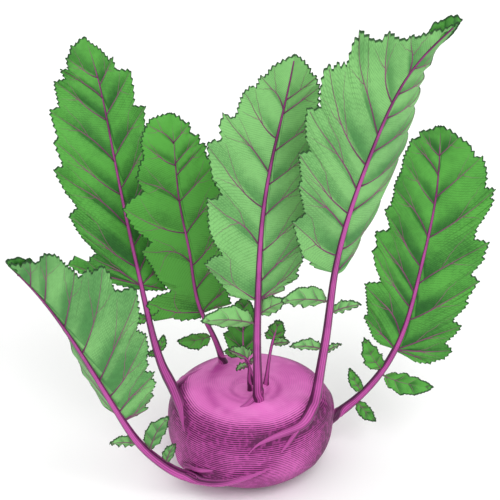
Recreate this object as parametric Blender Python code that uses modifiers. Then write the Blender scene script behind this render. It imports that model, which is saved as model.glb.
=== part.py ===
# Purple kohlrabi: a swollen stem standing on its cut root, with six grown leaves and three young ones.
# Millimetres are used for every size below and turned into metres when a mesh is made.
# X runs to the right, Y away from the viewer and Z up; the origin is the middle of the flat foot.

import bpy
import bmesh
import numpy as np

MM = 0.001
SEAT_GAP = 0.5

# Swollen stem
BULB_RADIUS = 44.5
BULB_HEIGHT = 51.0
WIDEST_AT = 24.0
FOOT_CUT = 2.0
SQUARE_ABOVE = 3.3
SQUARE_BELOW = 2.4
DIMPLE_DEPTH = 1.6
DIMPLE_RADIUS = 16.0
OVAL, THREE_SIDED = 0.012, 0.008
BULB_SEGMENTS = 52
BULB_RINGS = 28
RIDGE_STEPS = 24
RIDGE_FADE = 1.5
RIDGE_END_WIDTH = 0.6

# Leaf blades
BLADE_THICKNESS = 0.9
TIP_HALF_WIDTH = 1.0
WIDTH_STATIONS = (0, 0.12, 0.3, 0.5, 0.7, 0.82, 0.92, 1)
TOOTH_STATIONS = (0.0, 0.1, 0.5, 0.6)
TOOTH_SINUS, SMALL_SINUS = 0.1, 0.2
SMALL_TOOTH = 0.35
TOOTH_VARIATION = 0.3
SWEEP_REACH = 3.2
VEIN_BEND = 1.3
TIP_ROUNDING = 0.6
WAVES = 2.6
BLADE_COLUMNS = 3
STALK_POINTS = 26
STALK_TAPER = 0.6
MIDRIB_END = 0.9
SLOT_GAP = 0.8
CLOSED_SLOT = 0.45
LEAST_REACH = 0.4
END_GAP = 1.2

# Leaflets low on the stalks
LEAFLET_THICKNESS = 0.9
LEAFLET_ROWS = 7
LEAFLET_NOTCH = 0.2
LEAFLET_TIP_HALF_WIDTH = 0.7
LEAFLET_DROOP = 0.1
LEAFLET_CUP = 0.3

# Leaf bases that run down the swollen stem: (azimuth, latitude) in degrees, height and width at the start
RIDGES = {
    "front_right_main": {"path": [(-5, 43), (-27, 43), (-42, 41), (-57, 40), (-71, 35), (-81, 28), (-88, 19)],
                         "height": 3.2, "width": 4.6},
    "front_right_fork": {"path": [(-47, 39), (-54, 30), (-61, 21), (-67, 12)], "height": 2.4, "width": 3.4},
    "left_shoulder": {"path": [(188, 46), (196, 41), (209, 35), (219, 25), (222, 14)], "height": 3.4, "width": 4.8},
    "front_left_low": {"path": [(-129, -25), (-111, -14), (-97, -5), (-87, 0), (-78, 1)], "height": 3.6, "width": 5.0},
    "front_left_upper": {"path": [(-142, -17), (-129, -9), (-117, -7)], "height": 2.4, "width": 3.8},
    "right_side": {"path": [(10, 8), (-2, 3), (-15, 2)], "height": 3.2, "width": 4.8},
    "back_left_top": {"path": [(129, 69), (144, 71), (153, 70)], "height": 2.6, "width": 4.2},
    "centre_top": {"path": [(-73, 80), (-87, 74), (-97, 71)], "height": 2.8, "width": 4.4},
    "heart": {"path": [(-31, 87), (119, 86)], "height": 1.8, "width": 6.0},
}

# Leaves. route: centreline of stalk and midrib; neck: the route point where the blade begins;
# radii: stalk at the root, at the neck and at the midrib's end; right: which way the right half opens,
# at the neck and at the tip; upper: whether the upper face looks towards the viewer (-Y).
# widths: reach of each half from the midrib at WIDTH_STATIONS; rise: how far up its lowest lobe starts;
# fold and curl: turn towards the upper face at the midrib and over the half's width.
# sweep: how far forward the side veins lean. leaflets: place along the stalk, side, length, width,
# forward angle and turn towards the upper face.
LEAVES = {
    "leaf_left": {
        "route": [(-33, -6, 40), (-39, -6, 52), (-48, 0, 70), (-54.5, 8, 89), (-57.5, 13, 102),
                  (-65.5, 28, 136), (-73.5, 44, 175.5), (-81, 57, 208), (-86, 62, 223)],
        "neck": 4, "radii": (3.8, 1.9, 0.7), "right": ((1, 0.2, 0.1), (1, 0.2, 0.2)), "upper": True,
        "left": {"widths": (10, 27, 31, 33, 32, 32, 29, 24), "rise": 0.03, "fold": 8, "curl": 10},
        "right_half": {"widths": (15, 22, 27, 29, 26, 24, 21, 20), "rise": -0.04, "fold": -30, "curl": 8},
        "sweep": 0.16, "lobes": 8, "tooth": 0.19, "blunt": 5, "wave": 1.6, "phase": 0.3,
        "leaflets": [(0.47, 1, 11, 5.5, 40, -25), (0.49, -1, 7, 4.5, 100, -35),
                     (0.74, -1, 10, 6.5, 75, -30), (0.76, 1, 11, 6.5, 50, -35)],
    },
    "leaf_back_left": {
        "route": [(-13, 17, 44), (-16, 17.5, 56), (-20, 18, 68), (-26, 18.5, 82), (-31.5, 16.5, 118),
                  (-36, 14, 149), (-38.5, 16, 185.5), (-39.5, 19, 197.5)],
        "neck": 3, "radii": (2.4, 1.3, 0.6), "right": ((1, 0, 0.2), (1, 0, 0.1)), "upper": True,
        "left": {"widths": (14, 22, 26, 27, 25, 22, 23, 24), "rise": 0.03, "fold": 13, "curl": 8},
        "right_half": {"widths": (15, 20, 23, 24, 22, 23, 22, 20), "rise": 0.03, "fold": -6, "curl": -6},
        "sweep": 0.13, "lobes": 7, "tooth": 0.20, "blunt": 8, "wave": 1.2, "phase": 1.1,
        "leaflets": [(0.62, -1, 20, 11, 76, 10)],
    },
    "leaf_centre": {
        "route": [(4.2, -17, 42), (4.2, -18.5, 54), (3.6, -22, 90), (4, -24, 114), (6.3, -26, 163.5),
                  (11, -25, 195), (18.6, -20, 230), (21, -16, 242)],
        "neck": 3, "radii": (3.0, 1.8, 0.6), "right": ((1, 0, 0), (1, 0.1, -0.2)), "upper": False,
        "left": {"widths": (12, 25.5, 28, 30, 30.5, 26, 21, 17), "rise": 0.02, "fold": 4, "curl": 6},
        "right_half": {"widths": (10, 21.5, 25, 26, 27, 27, 24, 16), "rise": 0.03, "fold": 10, "curl": 8},
        "sweep": 0.16, "lobes": 7, "tooth": 0.18, "blunt": 6, "wave": 1.2, "phase": 2.0,
        "leaflets": [(0.8, -1, 30, 15, 78, -8), (0.87, 1, 17, 12, 60, 12)],
    },
    "leaf_right_tall": {
        "route": [(29, -17, 34), (33, -20.5, 48), (36, -25, 72), (38.5, -29, 98), (41, -33, 132),
                  (48, -41, 176), (57, -46, 210), (73, -47, 247), (92, -45, 267)],
        "neck": 4, "radii": (3.8, 2.0, 0.7), "right": ((1, 0.1, 0), (0.8, 0.2, -0.6)), "upper": False,
        "left": {"widths": (6, 19, 27, 33, 37, 32, 9, 8), "rise": 0.02, "fold": 2, "curl": 10},
        "right_half": {"widths": (10, 17, 26, 31, 27, 18, 8, 5), "rise": 0.05, "fold": -5, "curl": 84},
        "sweep": 0.16, "lobes": 8, "tooth": 0.16, "blunt": 9, "wave": 1.2, "phase": 0.0,
        "leaflets": [(0.55, -1, 21, 8.5, 72, -10), (0.52, 1, 11, 5, 55, 10),
                     (0.85, -1, 27, 14, 80, -6), (0.78, 1, 17, 8, 76, 12)],
    },
    "leaf_right": {
        "route": [(37, 7, 17), (45, 9, 20.5), (53, 12, 25), (63.5, 15, 34), (72, 18, 44), (79.5, 20, 58),
                  (91, 24, 105.5), (98, 32, 150), (99, 42, 181)],
        "neck": 5, "radii": (3.0, 1.7, 0.7), "right": ((1, 0, -0.3), (1, 0, 0)), "upper": True,
        "left": {"widths": (10, 24, 29, 30, 25.5, 24, 29, 30), "rise": -0.01, "fold": 6, "curl": 8},
        "right_half": {"widths": (20, 29, 30.5, 32, 32, 30, 25, 23), "rise": -0.01, "fold": 6, "curl": 8},
        "sweep": 0.12, "lobes": 7, "tooth": 0.20, "blunt": 9, "wave": 1.4, "phase": 2.7,
        "leaflets": [(0.5, -1, 17, 7.5, 72, 6), (0.42, 1, 17.5, 8.5, 92, 8),
                     (0.74, -1, 22, 11, 72, 24), (0.7, 1, 30, 13.5, 76, 10)],
    },
    "leaf_low_left": {
        "route": [(-10, -29, 12), (-18.5, -34, 11.5), (-35, -36.5, 15.5), (-47.5, -38, 25.5),
                  (-55.5, -39.5, 35.5), (-64.5, -43, 54), (-77, -52, 89), (-87.5, -62, 119.5),
                  (-99.5, -72, 147.5), (-108.5, -80, 165)],
        "neck": 5, "radii": (3.8, 1.9, 0.6), "right": ((0.85, 0.1, 0.5), (0.8, 0.2, 0.6)), "upper": False,
        "left": {"widths": (22, 27, 25, 18, 12, 9, 6, 4), "rise": 0.0, "fold": 60, "curl": 0},
        "right_half": {"widths": (14, 26.5, 29, 36, 34, 29, 30, 20), "rise": -0.01, "fold": 2, "curl": 14},
        "sweep": 0.14, "lobes": 7, "tooth": 0.18, "blunt": 5, "wave": 1.4, "phase": 1.6,
        "leaflets": [(0.5, 1, 17, 7, 66, -4), (0.66, 1, 29, 11.5, 60, -6),
                     (0.76, -1, 16, 8, 50, 6)],
    },
    "young_leaf_tall": {
        "route": [(3.5, -3, 46), (1, -1, 55), (-2.5, 2.5, 64), (-3.6, 6.5, 81), (-3, 8.5, 99)],
        "neck": 2, "radii": (1.2, 0.8, 0.4), "right": ((1, 0, 0), (1, 0, 0)), "upper": True,
        "left": {"widths": (8, 10, 10, 10, 9, 8, 6, 4), "rise": 0.05, "fold": 14, "curl": 6},
        "right_half": {"widths": (7, 9, 9, 9, 8, 7, 5, 4), "rise": 0.05, "fold": 14, "curl": 6},
        "sweep": 0.14, "lobes": 4, "tooth": 0.18, "blunt": 6, "wave": 0.5, "phase": 0.5,
        "leaflets": [],
    },
    "young_leaf_small": {
        "route": [(0.5, -7.5, 46), (-0.5, -8.5, 58), (-1.5, -9.5, 67), (-6, -11, 72), (-11, -12.5, 75.5)],
        "neck": 2, "radii": (1.1, 0.8, 0.4), "right": ((0.5, 0.1, 0.9), (0.5, 0.1, 0.9)), "upper": False,
        "left": {"widths": (4, 4.6, 4.6, 4.6, 4, 3.5, 3, 2), "rise": 0.05, "fold": 40, "curl": 6},
        "right_half": {"widths": (4, 5, 5.2, 5, 4.5, 4, 3, 2), "rise": 0.05, "fold": 10, "curl": 6},
        "sweep": 0.14, "lobes": 3, "tooth": 0.13, "blunt": 6, "wave": 0.3, "phase": 1.5,
        "leaflets": [],
    },
    "young_leaf_right": {
        "route": [(8, -4, 46), (9, -3.5, 56), (10.3, -2.5, 67), (12.5, -2, 79), (15.5, -1.5, 90)],
        "neck": 3, "radii": (1.2, 0.8, 0.5), "right": ((1, 0, -0.3), (1, 0, -0.3)), "upper": True,
        "left": {"widths": (4, 5, 5, 4.5, 4, 3.5, 3, 2), "rise": -0.1, "fold": 16, "curl": 6},
        "right_half": {"widths": (4, 5, 5, 4.5, 4, 3.5, 3, 2), "rise": -0.1, "fold": 10, "curl": 6},
        "sweep": 0.14, "lobes": 3, "tooth": 0.18, "blunt": 6, "wave": 0.4, "phase": 2.5,
        "leaflets": [(0.8, 1, 13, 6.5, 65, 30)],
    },
}

COLOURS = {
    "skin": ((0.46, 0.10, 0.33, 1.0), 0.42),
    "stalk": ((0.50, 0.10, 0.36, 1.0), 0.45),
    "blade": ((0.10, 0.36, 0.08, 1.0), 0.55),
}


def clear_scene():
    for obj in list(bpy.data.objects):
        bpy.data.objects.remove(obj)


def material(name):
    colour, roughness = COLOURS[name]
    made = bpy.data.materials.new(name)
    made.use_nodes = True
    shader = made.node_tree.nodes["Principled BSDF"]
    shader.inputs["Base Color"].default_value = colour
    shader.inputs["Roughness"].default_value = roughness
    shader.inputs["Metallic"].default_value = 0.0
    made.diffuse_color = colour
    return made


def collection(name, hidden=False):
    made = bpy.data.collections.new(name)
    bpy.context.scene.collection.children.link(made)
    made.hide_render = hidden
    return made


def unit(vectors):
    return vectors / np.maximum(np.linalg.norm(vectors, axis=-1, keepdims=True), 1e-9)


def natural_spline(knots, values, places):
    """Natural cubic spline of the values (one column each) at the knots, read at the places."""
    knots, values = np.asarray(knots, float), np.asarray(values, float).reshape(len(knots), -1)
    gaps = np.diff(knots)
    n = len(knots)
    system = np.eye(n)
    target = np.zeros_like(values)
    for i in range(1, n - 1):
        system[i, i - 1:i + 2] = gaps[i - 1], 2 * (gaps[i - 1] + gaps[i]), gaps[i]
        target[i] = 6 * ((values[i + 1] - values[i]) / gaps[i] - (values[i] - values[i - 1]) / gaps[i - 1])
    bend = np.linalg.solve(system, target)
    k = np.clip(np.searchsorted(knots, places, side="right") - 1, 0, n - 2)
    a, b, h = (knots[k + 1] - places)[:, None], (places - knots[k])[:, None], gaps[k][:, None]
    curve = (bend[k] * a**3 + bend[k + 1] * b**3) / (6 * h)
    return curve + (values[k] / h - bend[k] * h / 6) * a + (values[k + 1] / h - bend[k + 1] * h / 6) * b


def spline_through(points, count):
    """Smooth curve through the points as count evenly spaced ones, and its length."""
    points = np.asarray(points, float)
    knots = np.concatenate([[0], np.cumsum(np.linalg.norm(np.diff(points, axis=0), axis=1))])
    curve = natural_spline(knots, points, np.linspace(0, knots[-1], 400))
    length = np.concatenate([[0], np.cumsum(np.linalg.norm(np.diff(curve, axis=0), axis=1))])
    places = np.linspace(0, length[-1], count)
    return np.stack([np.interp(places, length, curve[:, axis]) for axis in range(3)], axis=1), length[-1]


class Rachis:
    """Centreline of one leaf's stalk and midrib, with its frame: along, right and towards the upper face."""

    SAMPLES = 240

    def __init__(self, leaf):
        self.points, self.length = spline_through(leaf["route"], self.SAMPLES)
        neck_point = np.array(leaf["route"][leaf["neck"]], float)
        nearest = np.argmin(np.linalg.norm(self.points - neck_point, axis=1))
        self.neck = nearest / (self.SAMPLES - 1)
        self.radii = leaf["radii"]
        share = np.linspace(0, 1, self.SAMPLES)
        along = unit(np.gradient(self.points, axis=0))
        opening = np.clip((share - self.neck) / (1 - self.neck), 0, 1)[:, None]
        hint = (1 - opening) * np.array(leaf["right"][0]) + opening * np.array(leaf["right"][1])
        right = unit(hint - (hint * along).sum(1, keepdims=True) * along)
        facing = np.cross(right, along)
        self.frame = along, right, facing if leaf["upper"] else -facing

    def at(self, share):
        """Point, and the three frame vectors, at a share of the whole length."""
        place = np.clip(share, 0, 1) * (self.SAMPLES - 1)
        low = np.minimum(place.astype(int), self.SAMPLES - 2)
        part = (place - low)[..., None]
        return [v[low] * (1 - part) + v[low + 1] * part for v in (self.points, *self.frame)]

    def radius(self, share):
        root, neck, tip = self.radii
        below = root + (neck - root) * np.clip(share / self.neck, 0, 1) ** STALK_TAPER
        above = neck + (tip - neck) * np.clip((share - self.neck) / (1 - self.neck), 0, 1)
        return np.where(share < self.neck, below, above)

    def blade_share(self, s):
        """Share of the whole length for a place s along the blade, 0 at its base and 1 at its tip."""
        return self.neck + (1 - self.neck) * s


def ridge_lines():
    """Every ridge as points on the plain surface, with a height and a width that fade along it."""
    for ridge in RIDGES.values():
        path = np.array(ridge["path"], float)
        steps = np.linspace(0, len(path) - 1, RIDGE_STEPS)
        azimuth = np.radians(np.interp(steps, range(len(path)), path[:, 0]))
        latitude = np.radians(np.interp(steps, range(len(path)), path[:, 1]))
        fade = 1 - (steps / steps[-1]) ** RIDGE_FADE
        width = ridge["width"] * (RIDGE_END_WIDTH + (1 - RIDGE_END_WIDTH) * fade)
        yield plain_bulb(azimuth, latitude), ridge["height"] * fade, width


def plain_bulb(azimuth, latitude):
    """Flattened globe: a squared-off ellipse turned about Z, a little out of round, hollowed at the top."""
    square = np.where(latitude > 0, SQUARE_ABOVE, SQUARE_BELOW)
    across = np.abs(np.cos(latitude)) ** (2 / square)
    height = np.sign(np.sin(latitude)) * np.abs(np.sin(latitude)) ** (2 / square)
    out_of_round = 1 + OVAL * np.sin(2 * azimuth + 1.0) + THREE_SIDED * np.sin(3 * azimuth + 0.5)
    radius = BULB_RADIUS * across * out_of_round
    reach = np.where(height > 0, BULB_HEIGHT - WIDEST_AT, WIDEST_AT + FOOT_CUT)
    z = WIDEST_AT + reach * height
    z = z - np.where(height > 0, DIMPLE_DEPTH * np.exp(-(radius / DIMPLE_RADIUS) ** 2), 0)
    return np.stack([radius * np.cos(azimuth), radius * np.sin(azimuth), z], axis=-1)


def bulb_surface(azimuth, latitude, grow=0.0):
    """The plain bulb raised along its normal by every leaf base, and by grow all over."""
    plain = plain_bulb(azimuth, latitude)
    centred = plain - np.array([0, 0, WIDEST_AT])
    normal = unit(centred / np.array([BULB_RADIUS, BULB_RADIUS, WIDEST_AT]) ** 2)
    lift = np.zeros(len(plain))
    for line, height, width in ridge_lines():
        distance = np.linalg.norm(plain[:, None] - line[None], axis=2)
        lift += (height * np.exp(-((distance / width) ** 2))).max(axis=1) ** 3
    return plain + normal * (np.cbrt(lift) + grow)[:, None]


def bulb_object(name, target, grow=0.0):
    mesh = bpy.data.meshes.new(name)
    shape = bmesh.new()
    bmesh.ops.create_uvsphere(shape, u_segments=BULB_SEGMENTS, v_segments=BULB_RINGS, radius=1.0)
    ball = np.array([v.co for v in shape.verts])
    surface = bulb_surface(np.arctan2(ball[:, 1], ball[:, 0]), np.arcsin(np.clip(ball[:, 2], -1, 1)), grow)
    surface[:, 2] = np.maximum(surface[:, 2], -grow)
    for vert, place in zip(shape.verts, surface):
        vert.co = place * MM
    bmesh.ops.triangulate(shape, faces=shape.faces)
    shape.to_mesh(mesh)
    shape.free()
    obj = bpy.data.objects.new(name, mesh)
    target.objects.link(obj)
    return obj


def baked(obj):
    """The object with its modifiers worked into its mesh."""
    graph = bpy.context.evaluated_depsgraph_get()
    mesh = bpy.data.meshes.new_from_object(obj.evaluated_get(graph))
    obj.modifiers.clear()
    obj.data = mesh
    return obj


def tube_object(name, target, points, radii):
    """A round tube through the points, as a welded mesh."""
    curve = bpy.data.curves.new(name, "CURVE")
    curve.dimensions = "3D"
    curve.bevel_depth = MM
    curve.bevel_resolution = 2
    curve.use_fill_caps = True
    line = curve.splines.new("POLY")
    line.points.add(len(points) - 1)
    for knot, place, radius in zip(line.points, points, radii):
        knot.co = (*(place * MM), 1.0)
        knot.radius = radius
    guide = bpy.data.objects.new(name + "_line", curve)
    target.objects.link(guide)
    bpy.context.view_layer.update()
    graph = bpy.context.evaluated_depsgraph_get()
    mesh = bpy.data.meshes.new_from_object(guide.evaluated_get(graph))
    mesh.transform(guide.matrix_world)
    bpy.data.objects.remove(guide)
    shape = bmesh.new()
    shape.from_mesh(mesh)
    bmesh.ops.remove_doubles(shape, verts=shape.verts, dist=1e-6)
    bmesh.ops.recalc_face_normals(shape, faces=shape.faces)
    shape.to_mesh(mesh)
    shape.free()
    obj = bpy.data.objects.new(name, mesh)
    target.objects.link(obj)
    return obj


def bent_reach(across, share, fold, curl):
    """Sideways and upward reach of a strip that leaves at the fold angle and bends evenly by the curl."""
    bend = np.radians(curl) * share
    angle = np.radians(fold) + bend / 2
    chord = across * np.sinc(bend / (2 * np.pi))
    return chord * np.cos(angle), chord * np.sin(angle)


def sawtooth(part, sinus):
    """1 at a tooth's tip, 0 in the sinus just past it, then rising evenly to the next tip."""
    return np.where(part < sinus, 1 - part / sinus, (part - sinus) / (1 - sinus))


def blade_edge(u, leaf, half):
    """Where the line that leaves the midrib at u meets the margin: place along the blade and width."""
    s = u + half["rise"] * (1 - u) ** 3 + SWEEP_REACH * leaf["sweep"] * u * (1 - u)
    s = np.clip(s, half["rise"], 1)
    outline = np.interp(s, WIDTH_STATIONS, half["widths"])
    outline = outline * (1 - np.clip(s, 0, 1) ** leaf["blunt"]) ** TIP_ROUNDING
    lobe = u * leaf["lobes"] + 1e-6
    size = 1 + TOOTH_VARIATION * np.sin(2.3 * np.floor(lobe) + leaf["phase"])
    cut = 1 - sawtooth(lobe % 1, TOOTH_SINUS) + SMALL_TOOTH * (1 - sawtooth(2 * lobe % 1, SMALL_SINUS))
    width = outline * (1 - leaf["tooth"] * size * (cut - 0.5))
    return s, np.maximum(width, TIP_HALF_WIDTH)


def blade_stations(leaf):
    """Where the cross lines of the blade leave the midrib: four for each side vein."""
    lobes = leaf["lobes"]
    return np.array([(k + f) / lobes for k in range(lobes) for f in TOOTH_STATIONS] + [1.0])


def blade_object(name, target, leaf, rachis):
    """One green blade: two toothed halves beside the midrib, joined past its end."""
    stations = blade_stations(leaf)
    last_open = stations[stations < MIDRIB_END].max()
    rows, columns = len(stations) - 1, 2 * BLADE_COLUMNS + 1
    shape = bmesh.new()
    bmesh.ops.create_grid(shape, x_segments=columns, y_segments=rows, size=1.0)
    flat = np.array([v.co for v in shape.verts])
    row = np.rint((flat[:, 1] + 1) / 2 * rows).astype(int)
    column = np.rint((flat[:, 0] + 1) / 2 * columns).astype(int)
    u = stations[row]
    side = np.where(column <= BLADE_COLUMNS, -1, 1)
    v = np.where(side > 0, column - BLADE_COLUMNS - 1, BLADE_COLUMNS - column) / BLADE_COLUMNS
    place = np.zeros((len(flat), 3))
    for sign, key in ((-1, "left"), (1, "right_half")):
        half = leaf[key]
        chosen = side == sign
        s_edge, width = blade_edge(u[chosen], leaf, half)
        s = u[chosen] + (s_edge - u[chosen]) * v[chosen] ** VEIN_BEND
        middle, _, right, upper = rachis.at(rachis.blade_share(s))
        slot = rachis.radius(rachis.blade_share(s)) + SLOT_GAP
        slot = np.where(u[chosen] > last_open, CLOSED_SLOT, slot)
        across = slot + np.maximum(width - slot, LEAST_REACH) * v[chosen]
        sideways, upward = bent_reach(across, v[chosen], half["fold"], half["curl"])
        wave = leaf["wave"] * v[chosen] ** 2 * np.sin(2 * np.pi * WAVES * s + leaf["phase"] + sign)
        place[chosen] = middle + sign * right * sideways[:, None] + upper * (upward + wave)[:, None]
    for vert, spot in zip(shape.verts, place):
        vert.co = spot * MM
    shape.verts.ensure_lookup_table()
    open_slot = []
    for face in shape.faces:
        of_face = [vert.index for vert in face.verts]
        in_middle = set(column[of_face]) == {BLADE_COLUMNS, BLADE_COLUMNS + 1}
        if in_middle and stations[row[of_face].max()] <= last_open:
            open_slot.append(face)
    bmesh.ops.delete(shape, geom=open_slot, context="FACES")
    bmesh.ops.triangulate(shape, faces=shape.faces)
    mesh = bpy.data.meshes.new(name)
    shape.to_mesh(mesh)
    shape.free()
    obj = bpy.data.objects.new(name, mesh)
    target.objects.link(obj)
    thicken = obj.modifiers.new("thickness", "SOLIDIFY")
    thicken.thickness = BLADE_THICKNESS * MM
    thicken.offset = 0.0
    return obj


def leaflet_object(name, target, leaf, rachis, leaflet):
    """A small toothed leaflet whose root lies inside the stalk."""
    share, side, length, width, forward, turn = leaflet
    root, along, right, upper = (v[0] for v in rachis.at(np.array([share * rachis.neck])))
    outward = np.cos(np.radians(turn)) * side * right + np.sin(np.radians(turn)) * upper
    heading = np.cos(np.radians(forward)) * along + np.sin(np.radians(forward)) * outward
    face = upper - (upper @ heading) * heading
    face /= np.linalg.norm(face)
    across = np.cross(heading, face)
    shape = bmesh.new()
    bmesh.ops.create_grid(shape, x_segments=2, y_segments=LEAFLET_ROWS, size=1.0)
    flat = np.array([v.co for v in shape.verts])
    s, v = (flat[:, 1] + 1) / 2, flat[:, 0]
    outline = np.sin(np.pi * np.clip((s - 0.05) / 0.97, 0, 1) ** 0.8) ** 0.75
    notch = 1 - LEAFLET_NOTCH * (np.rint(s * LEAFLET_ROWS) % 2)
    half_width = np.maximum(width / 2 * outline * notch, LEAFLET_TIP_HALF_WIDTH)
    droop = -LEAFLET_DROOP * length * s**2
    place = root + heading * (s * length)[:, None] + across * (v * half_width)[:, None]
    place += face * (droop + LEAFLET_CUP * np.abs(v) * half_width)[:, None]
    for vert, spot in zip(shape.verts, place):
        vert.co = spot * MM
    bmesh.ops.triangulate(shape, faces=shape.faces)
    mesh = bpy.data.meshes.new(name)
    shape.to_mesh(mesh)
    shape.free()
    obj = bpy.data.objects.new(name, mesh)
    target.objects.link(obj)
    thicken = obj.modifiers.new("thickness", "SOLIDIFY")
    thicken.thickness = LEAFLET_THICKNESS * MM
    thicken.offset = 0.0
    return baked(obj)


def stalk_object(name, target, leaf, rachis, bulb_cutter):
    """Stalk and midrib in one tapering tube, its leaflets joined on, its root trimmed to the bulb."""
    stations = blade_stations(leaf)
    end = rachis.blade_share(stations[stations < MIDRIB_END].max()) - END_GAP / rachis.length
    shares = np.linspace(0, end, STALK_POINTS)
    points = rachis.at(shares)[0]
    obj = tube_object(name, target, points, rachis.radius(shares))
    if leaf["leaflets"]:
        joined = collection(name + "_leaflets", hidden=True)
        for number, leaflet in enumerate(leaf["leaflets"], 1):
            leaflet_object(f"{name}_leaflet_{number}", joined, leaf, rachis, leaflet)
        union = obj.modifiers.new("leaflets", "BOOLEAN")
        union.operation = "UNION"
        union.operand_type = "COLLECTION"
        union.collection = joined
        bpy.context.view_layer.update()
        baked(obj)
        for leaflet in list(joined.objects):
            bpy.data.objects.remove(leaflet)
        bpy.data.collections.remove(joined)
    trim = obj.modifiers.new("seat", "BOOLEAN")
    trim.operation = "DIFFERENCE"
    trim.object = bulb_cutter
    return obj


def main():
    clear_scene()
    kohlrabi = collection("kohlrabi")
    cutters = collection("cutters", hidden=True)
    skins = {name: material(name) for name in COLOURS}
    bulb = bulb_object("bulb", kohlrabi)
    bulb.data.materials.append(skins["skin"])
    cutter = bulb_object("bulb_cutter", cutters, grow=SEAT_GAP)
    cutter.hide_render = True
    cutter.display_type = "WIRE"
    for name, leaf in LEAVES.items():
        rachis = Rachis(leaf)
        stalk = stalk_object(name + "_stalk", kohlrabi, leaf, rachis, cutter)
        stalk.data.materials.append(skins["stalk"])
        blade = blade_object(name + "_blade", kohlrabi, leaf, rachis)
        blade.data.materials.append(skins["blade"])


main()
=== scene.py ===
import math

import bpy
import numpy as np
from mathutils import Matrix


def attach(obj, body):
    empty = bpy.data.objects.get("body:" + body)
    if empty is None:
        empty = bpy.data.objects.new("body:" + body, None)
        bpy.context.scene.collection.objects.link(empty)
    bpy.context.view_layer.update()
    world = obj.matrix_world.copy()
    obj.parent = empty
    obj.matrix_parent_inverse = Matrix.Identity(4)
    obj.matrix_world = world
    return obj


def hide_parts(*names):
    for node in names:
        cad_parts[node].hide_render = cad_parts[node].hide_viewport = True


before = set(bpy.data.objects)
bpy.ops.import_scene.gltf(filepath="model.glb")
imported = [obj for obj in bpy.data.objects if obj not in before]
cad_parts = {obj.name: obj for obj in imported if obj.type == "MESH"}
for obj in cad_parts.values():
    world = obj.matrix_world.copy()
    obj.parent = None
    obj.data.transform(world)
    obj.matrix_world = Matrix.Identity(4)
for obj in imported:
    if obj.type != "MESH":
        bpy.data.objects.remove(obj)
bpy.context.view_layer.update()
print("frame loaded")

mm = 0.001


# Shapes on grids

def unitRows(v):
    # each row divided by its own length
    return v / np.maximum(np.linalg.norm(v, axis=-1, keepdims=True), 1e-9)


def smoothStep(low, high, x):
    # 0 below low, 1 above high, and 3t2 - 2t3 between them
    t = np.clip((x - low) / (high - low), 0, 1)
    return t * t * (3 - 2 * t)


def curveThrough(points, count, samples=500):
    # natural cubic spline by chord length, read at samples places, then at count places evenly spaced along
    # it; also its length
    points = np.asarray(points, float)
    knots = np.concatenate([[0], np.cumsum(np.linalg.norm(np.diff(points, axis=0), axis=1))])
    gaps = np.diff(knots)
    last = len(points) - 1
    inner = np.arange(1, last)
    system = np.eye(last + 1)
    system[inner, inner - 1] = gaps[:-1]
    system[inner, inner] = 2 * (gaps[:-1] + gaps[1:])
    system[inner, inner + 1] = gaps[1:]
    slopes = np.diff(points, axis=0) / gaps[:, None]
    target = np.zeros_like(points)
    target[1:-1] = 6 * np.diff(slopes, axis=0)
    bend = np.linalg.solve(system, target)
    places = np.linspace(0, knots[-1], samples)
    k = np.clip(np.searchsorted(knots, places, side="right") - 1, 0, last - 1)
    a, b, h = (knots[k + 1] - places)[:, None], (places - knots[k])[:, None], gaps[k][:, None]
    curve = (bend[k] * a**3 + bend[k + 1] * b**3) / (6 * h)
    curve += (points[k] / h - bend[k] * h / 6) * a + (points[k + 1] / h - bend[k + 1] * h / 6) * b
    run = np.concatenate([[0], np.cumsum(np.linalg.norm(np.diff(curve, axis=0), axis=1))])
    even = np.linspace(0, run[-1], count)
    return np.stack([np.interp(even, run, curve[:, i]) for i in range(3)], axis=1), run[-1]


def closedGrid(points, maps):
    # rings of points (row, place round the ring) joined by quads, with a pole at each end; faces turned
    # outwards, which is where the sum of corner . (corner x corner) is above 0
    rows, around = points.shape[:2]
    verts = np.concatenate([points.reshape(-1, 3), points[0].mean(0)[None], points[-1].mean(0)[None]])
    here = np.arange(around)
    after = (here + 1) % around
    row = (np.arange(rows - 1) * around)[:, None]
    quads = np.stack([row + here, row + after, row + around + after, row + around + here], axis=-1)
    quads = quads.reshape(-1, 4)
    end = (rows - 1) * around
    first = np.stack([after, here, np.full(around, rows * around)], axis=-1)
    final = np.stack([end + here, end + after, np.full(around, rows * around + 1)], axis=-1)
    tris = np.concatenate([first, final])
    flat = np.concatenate([quads[:, :3], quads[:, [0, 2, 3]], tris])
    corner = verts[flat]
    if np.einsum("ij,ij->i", corner[:, 0], np.cross(corner[:, 1], corner[:, 2])).sum() < 0:
        quads, tris = quads[:, ::-1], tris[:, ::-1]
    spread = {key: np.concatenate([m.reshape(-1, 3), m[0].mean(0)[None], m[-1].mean(0)[None]])
              for key, m in maps.items()}
    return {"verts": verts, "quads": quads, "tris": tris, "maps": spread}


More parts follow.
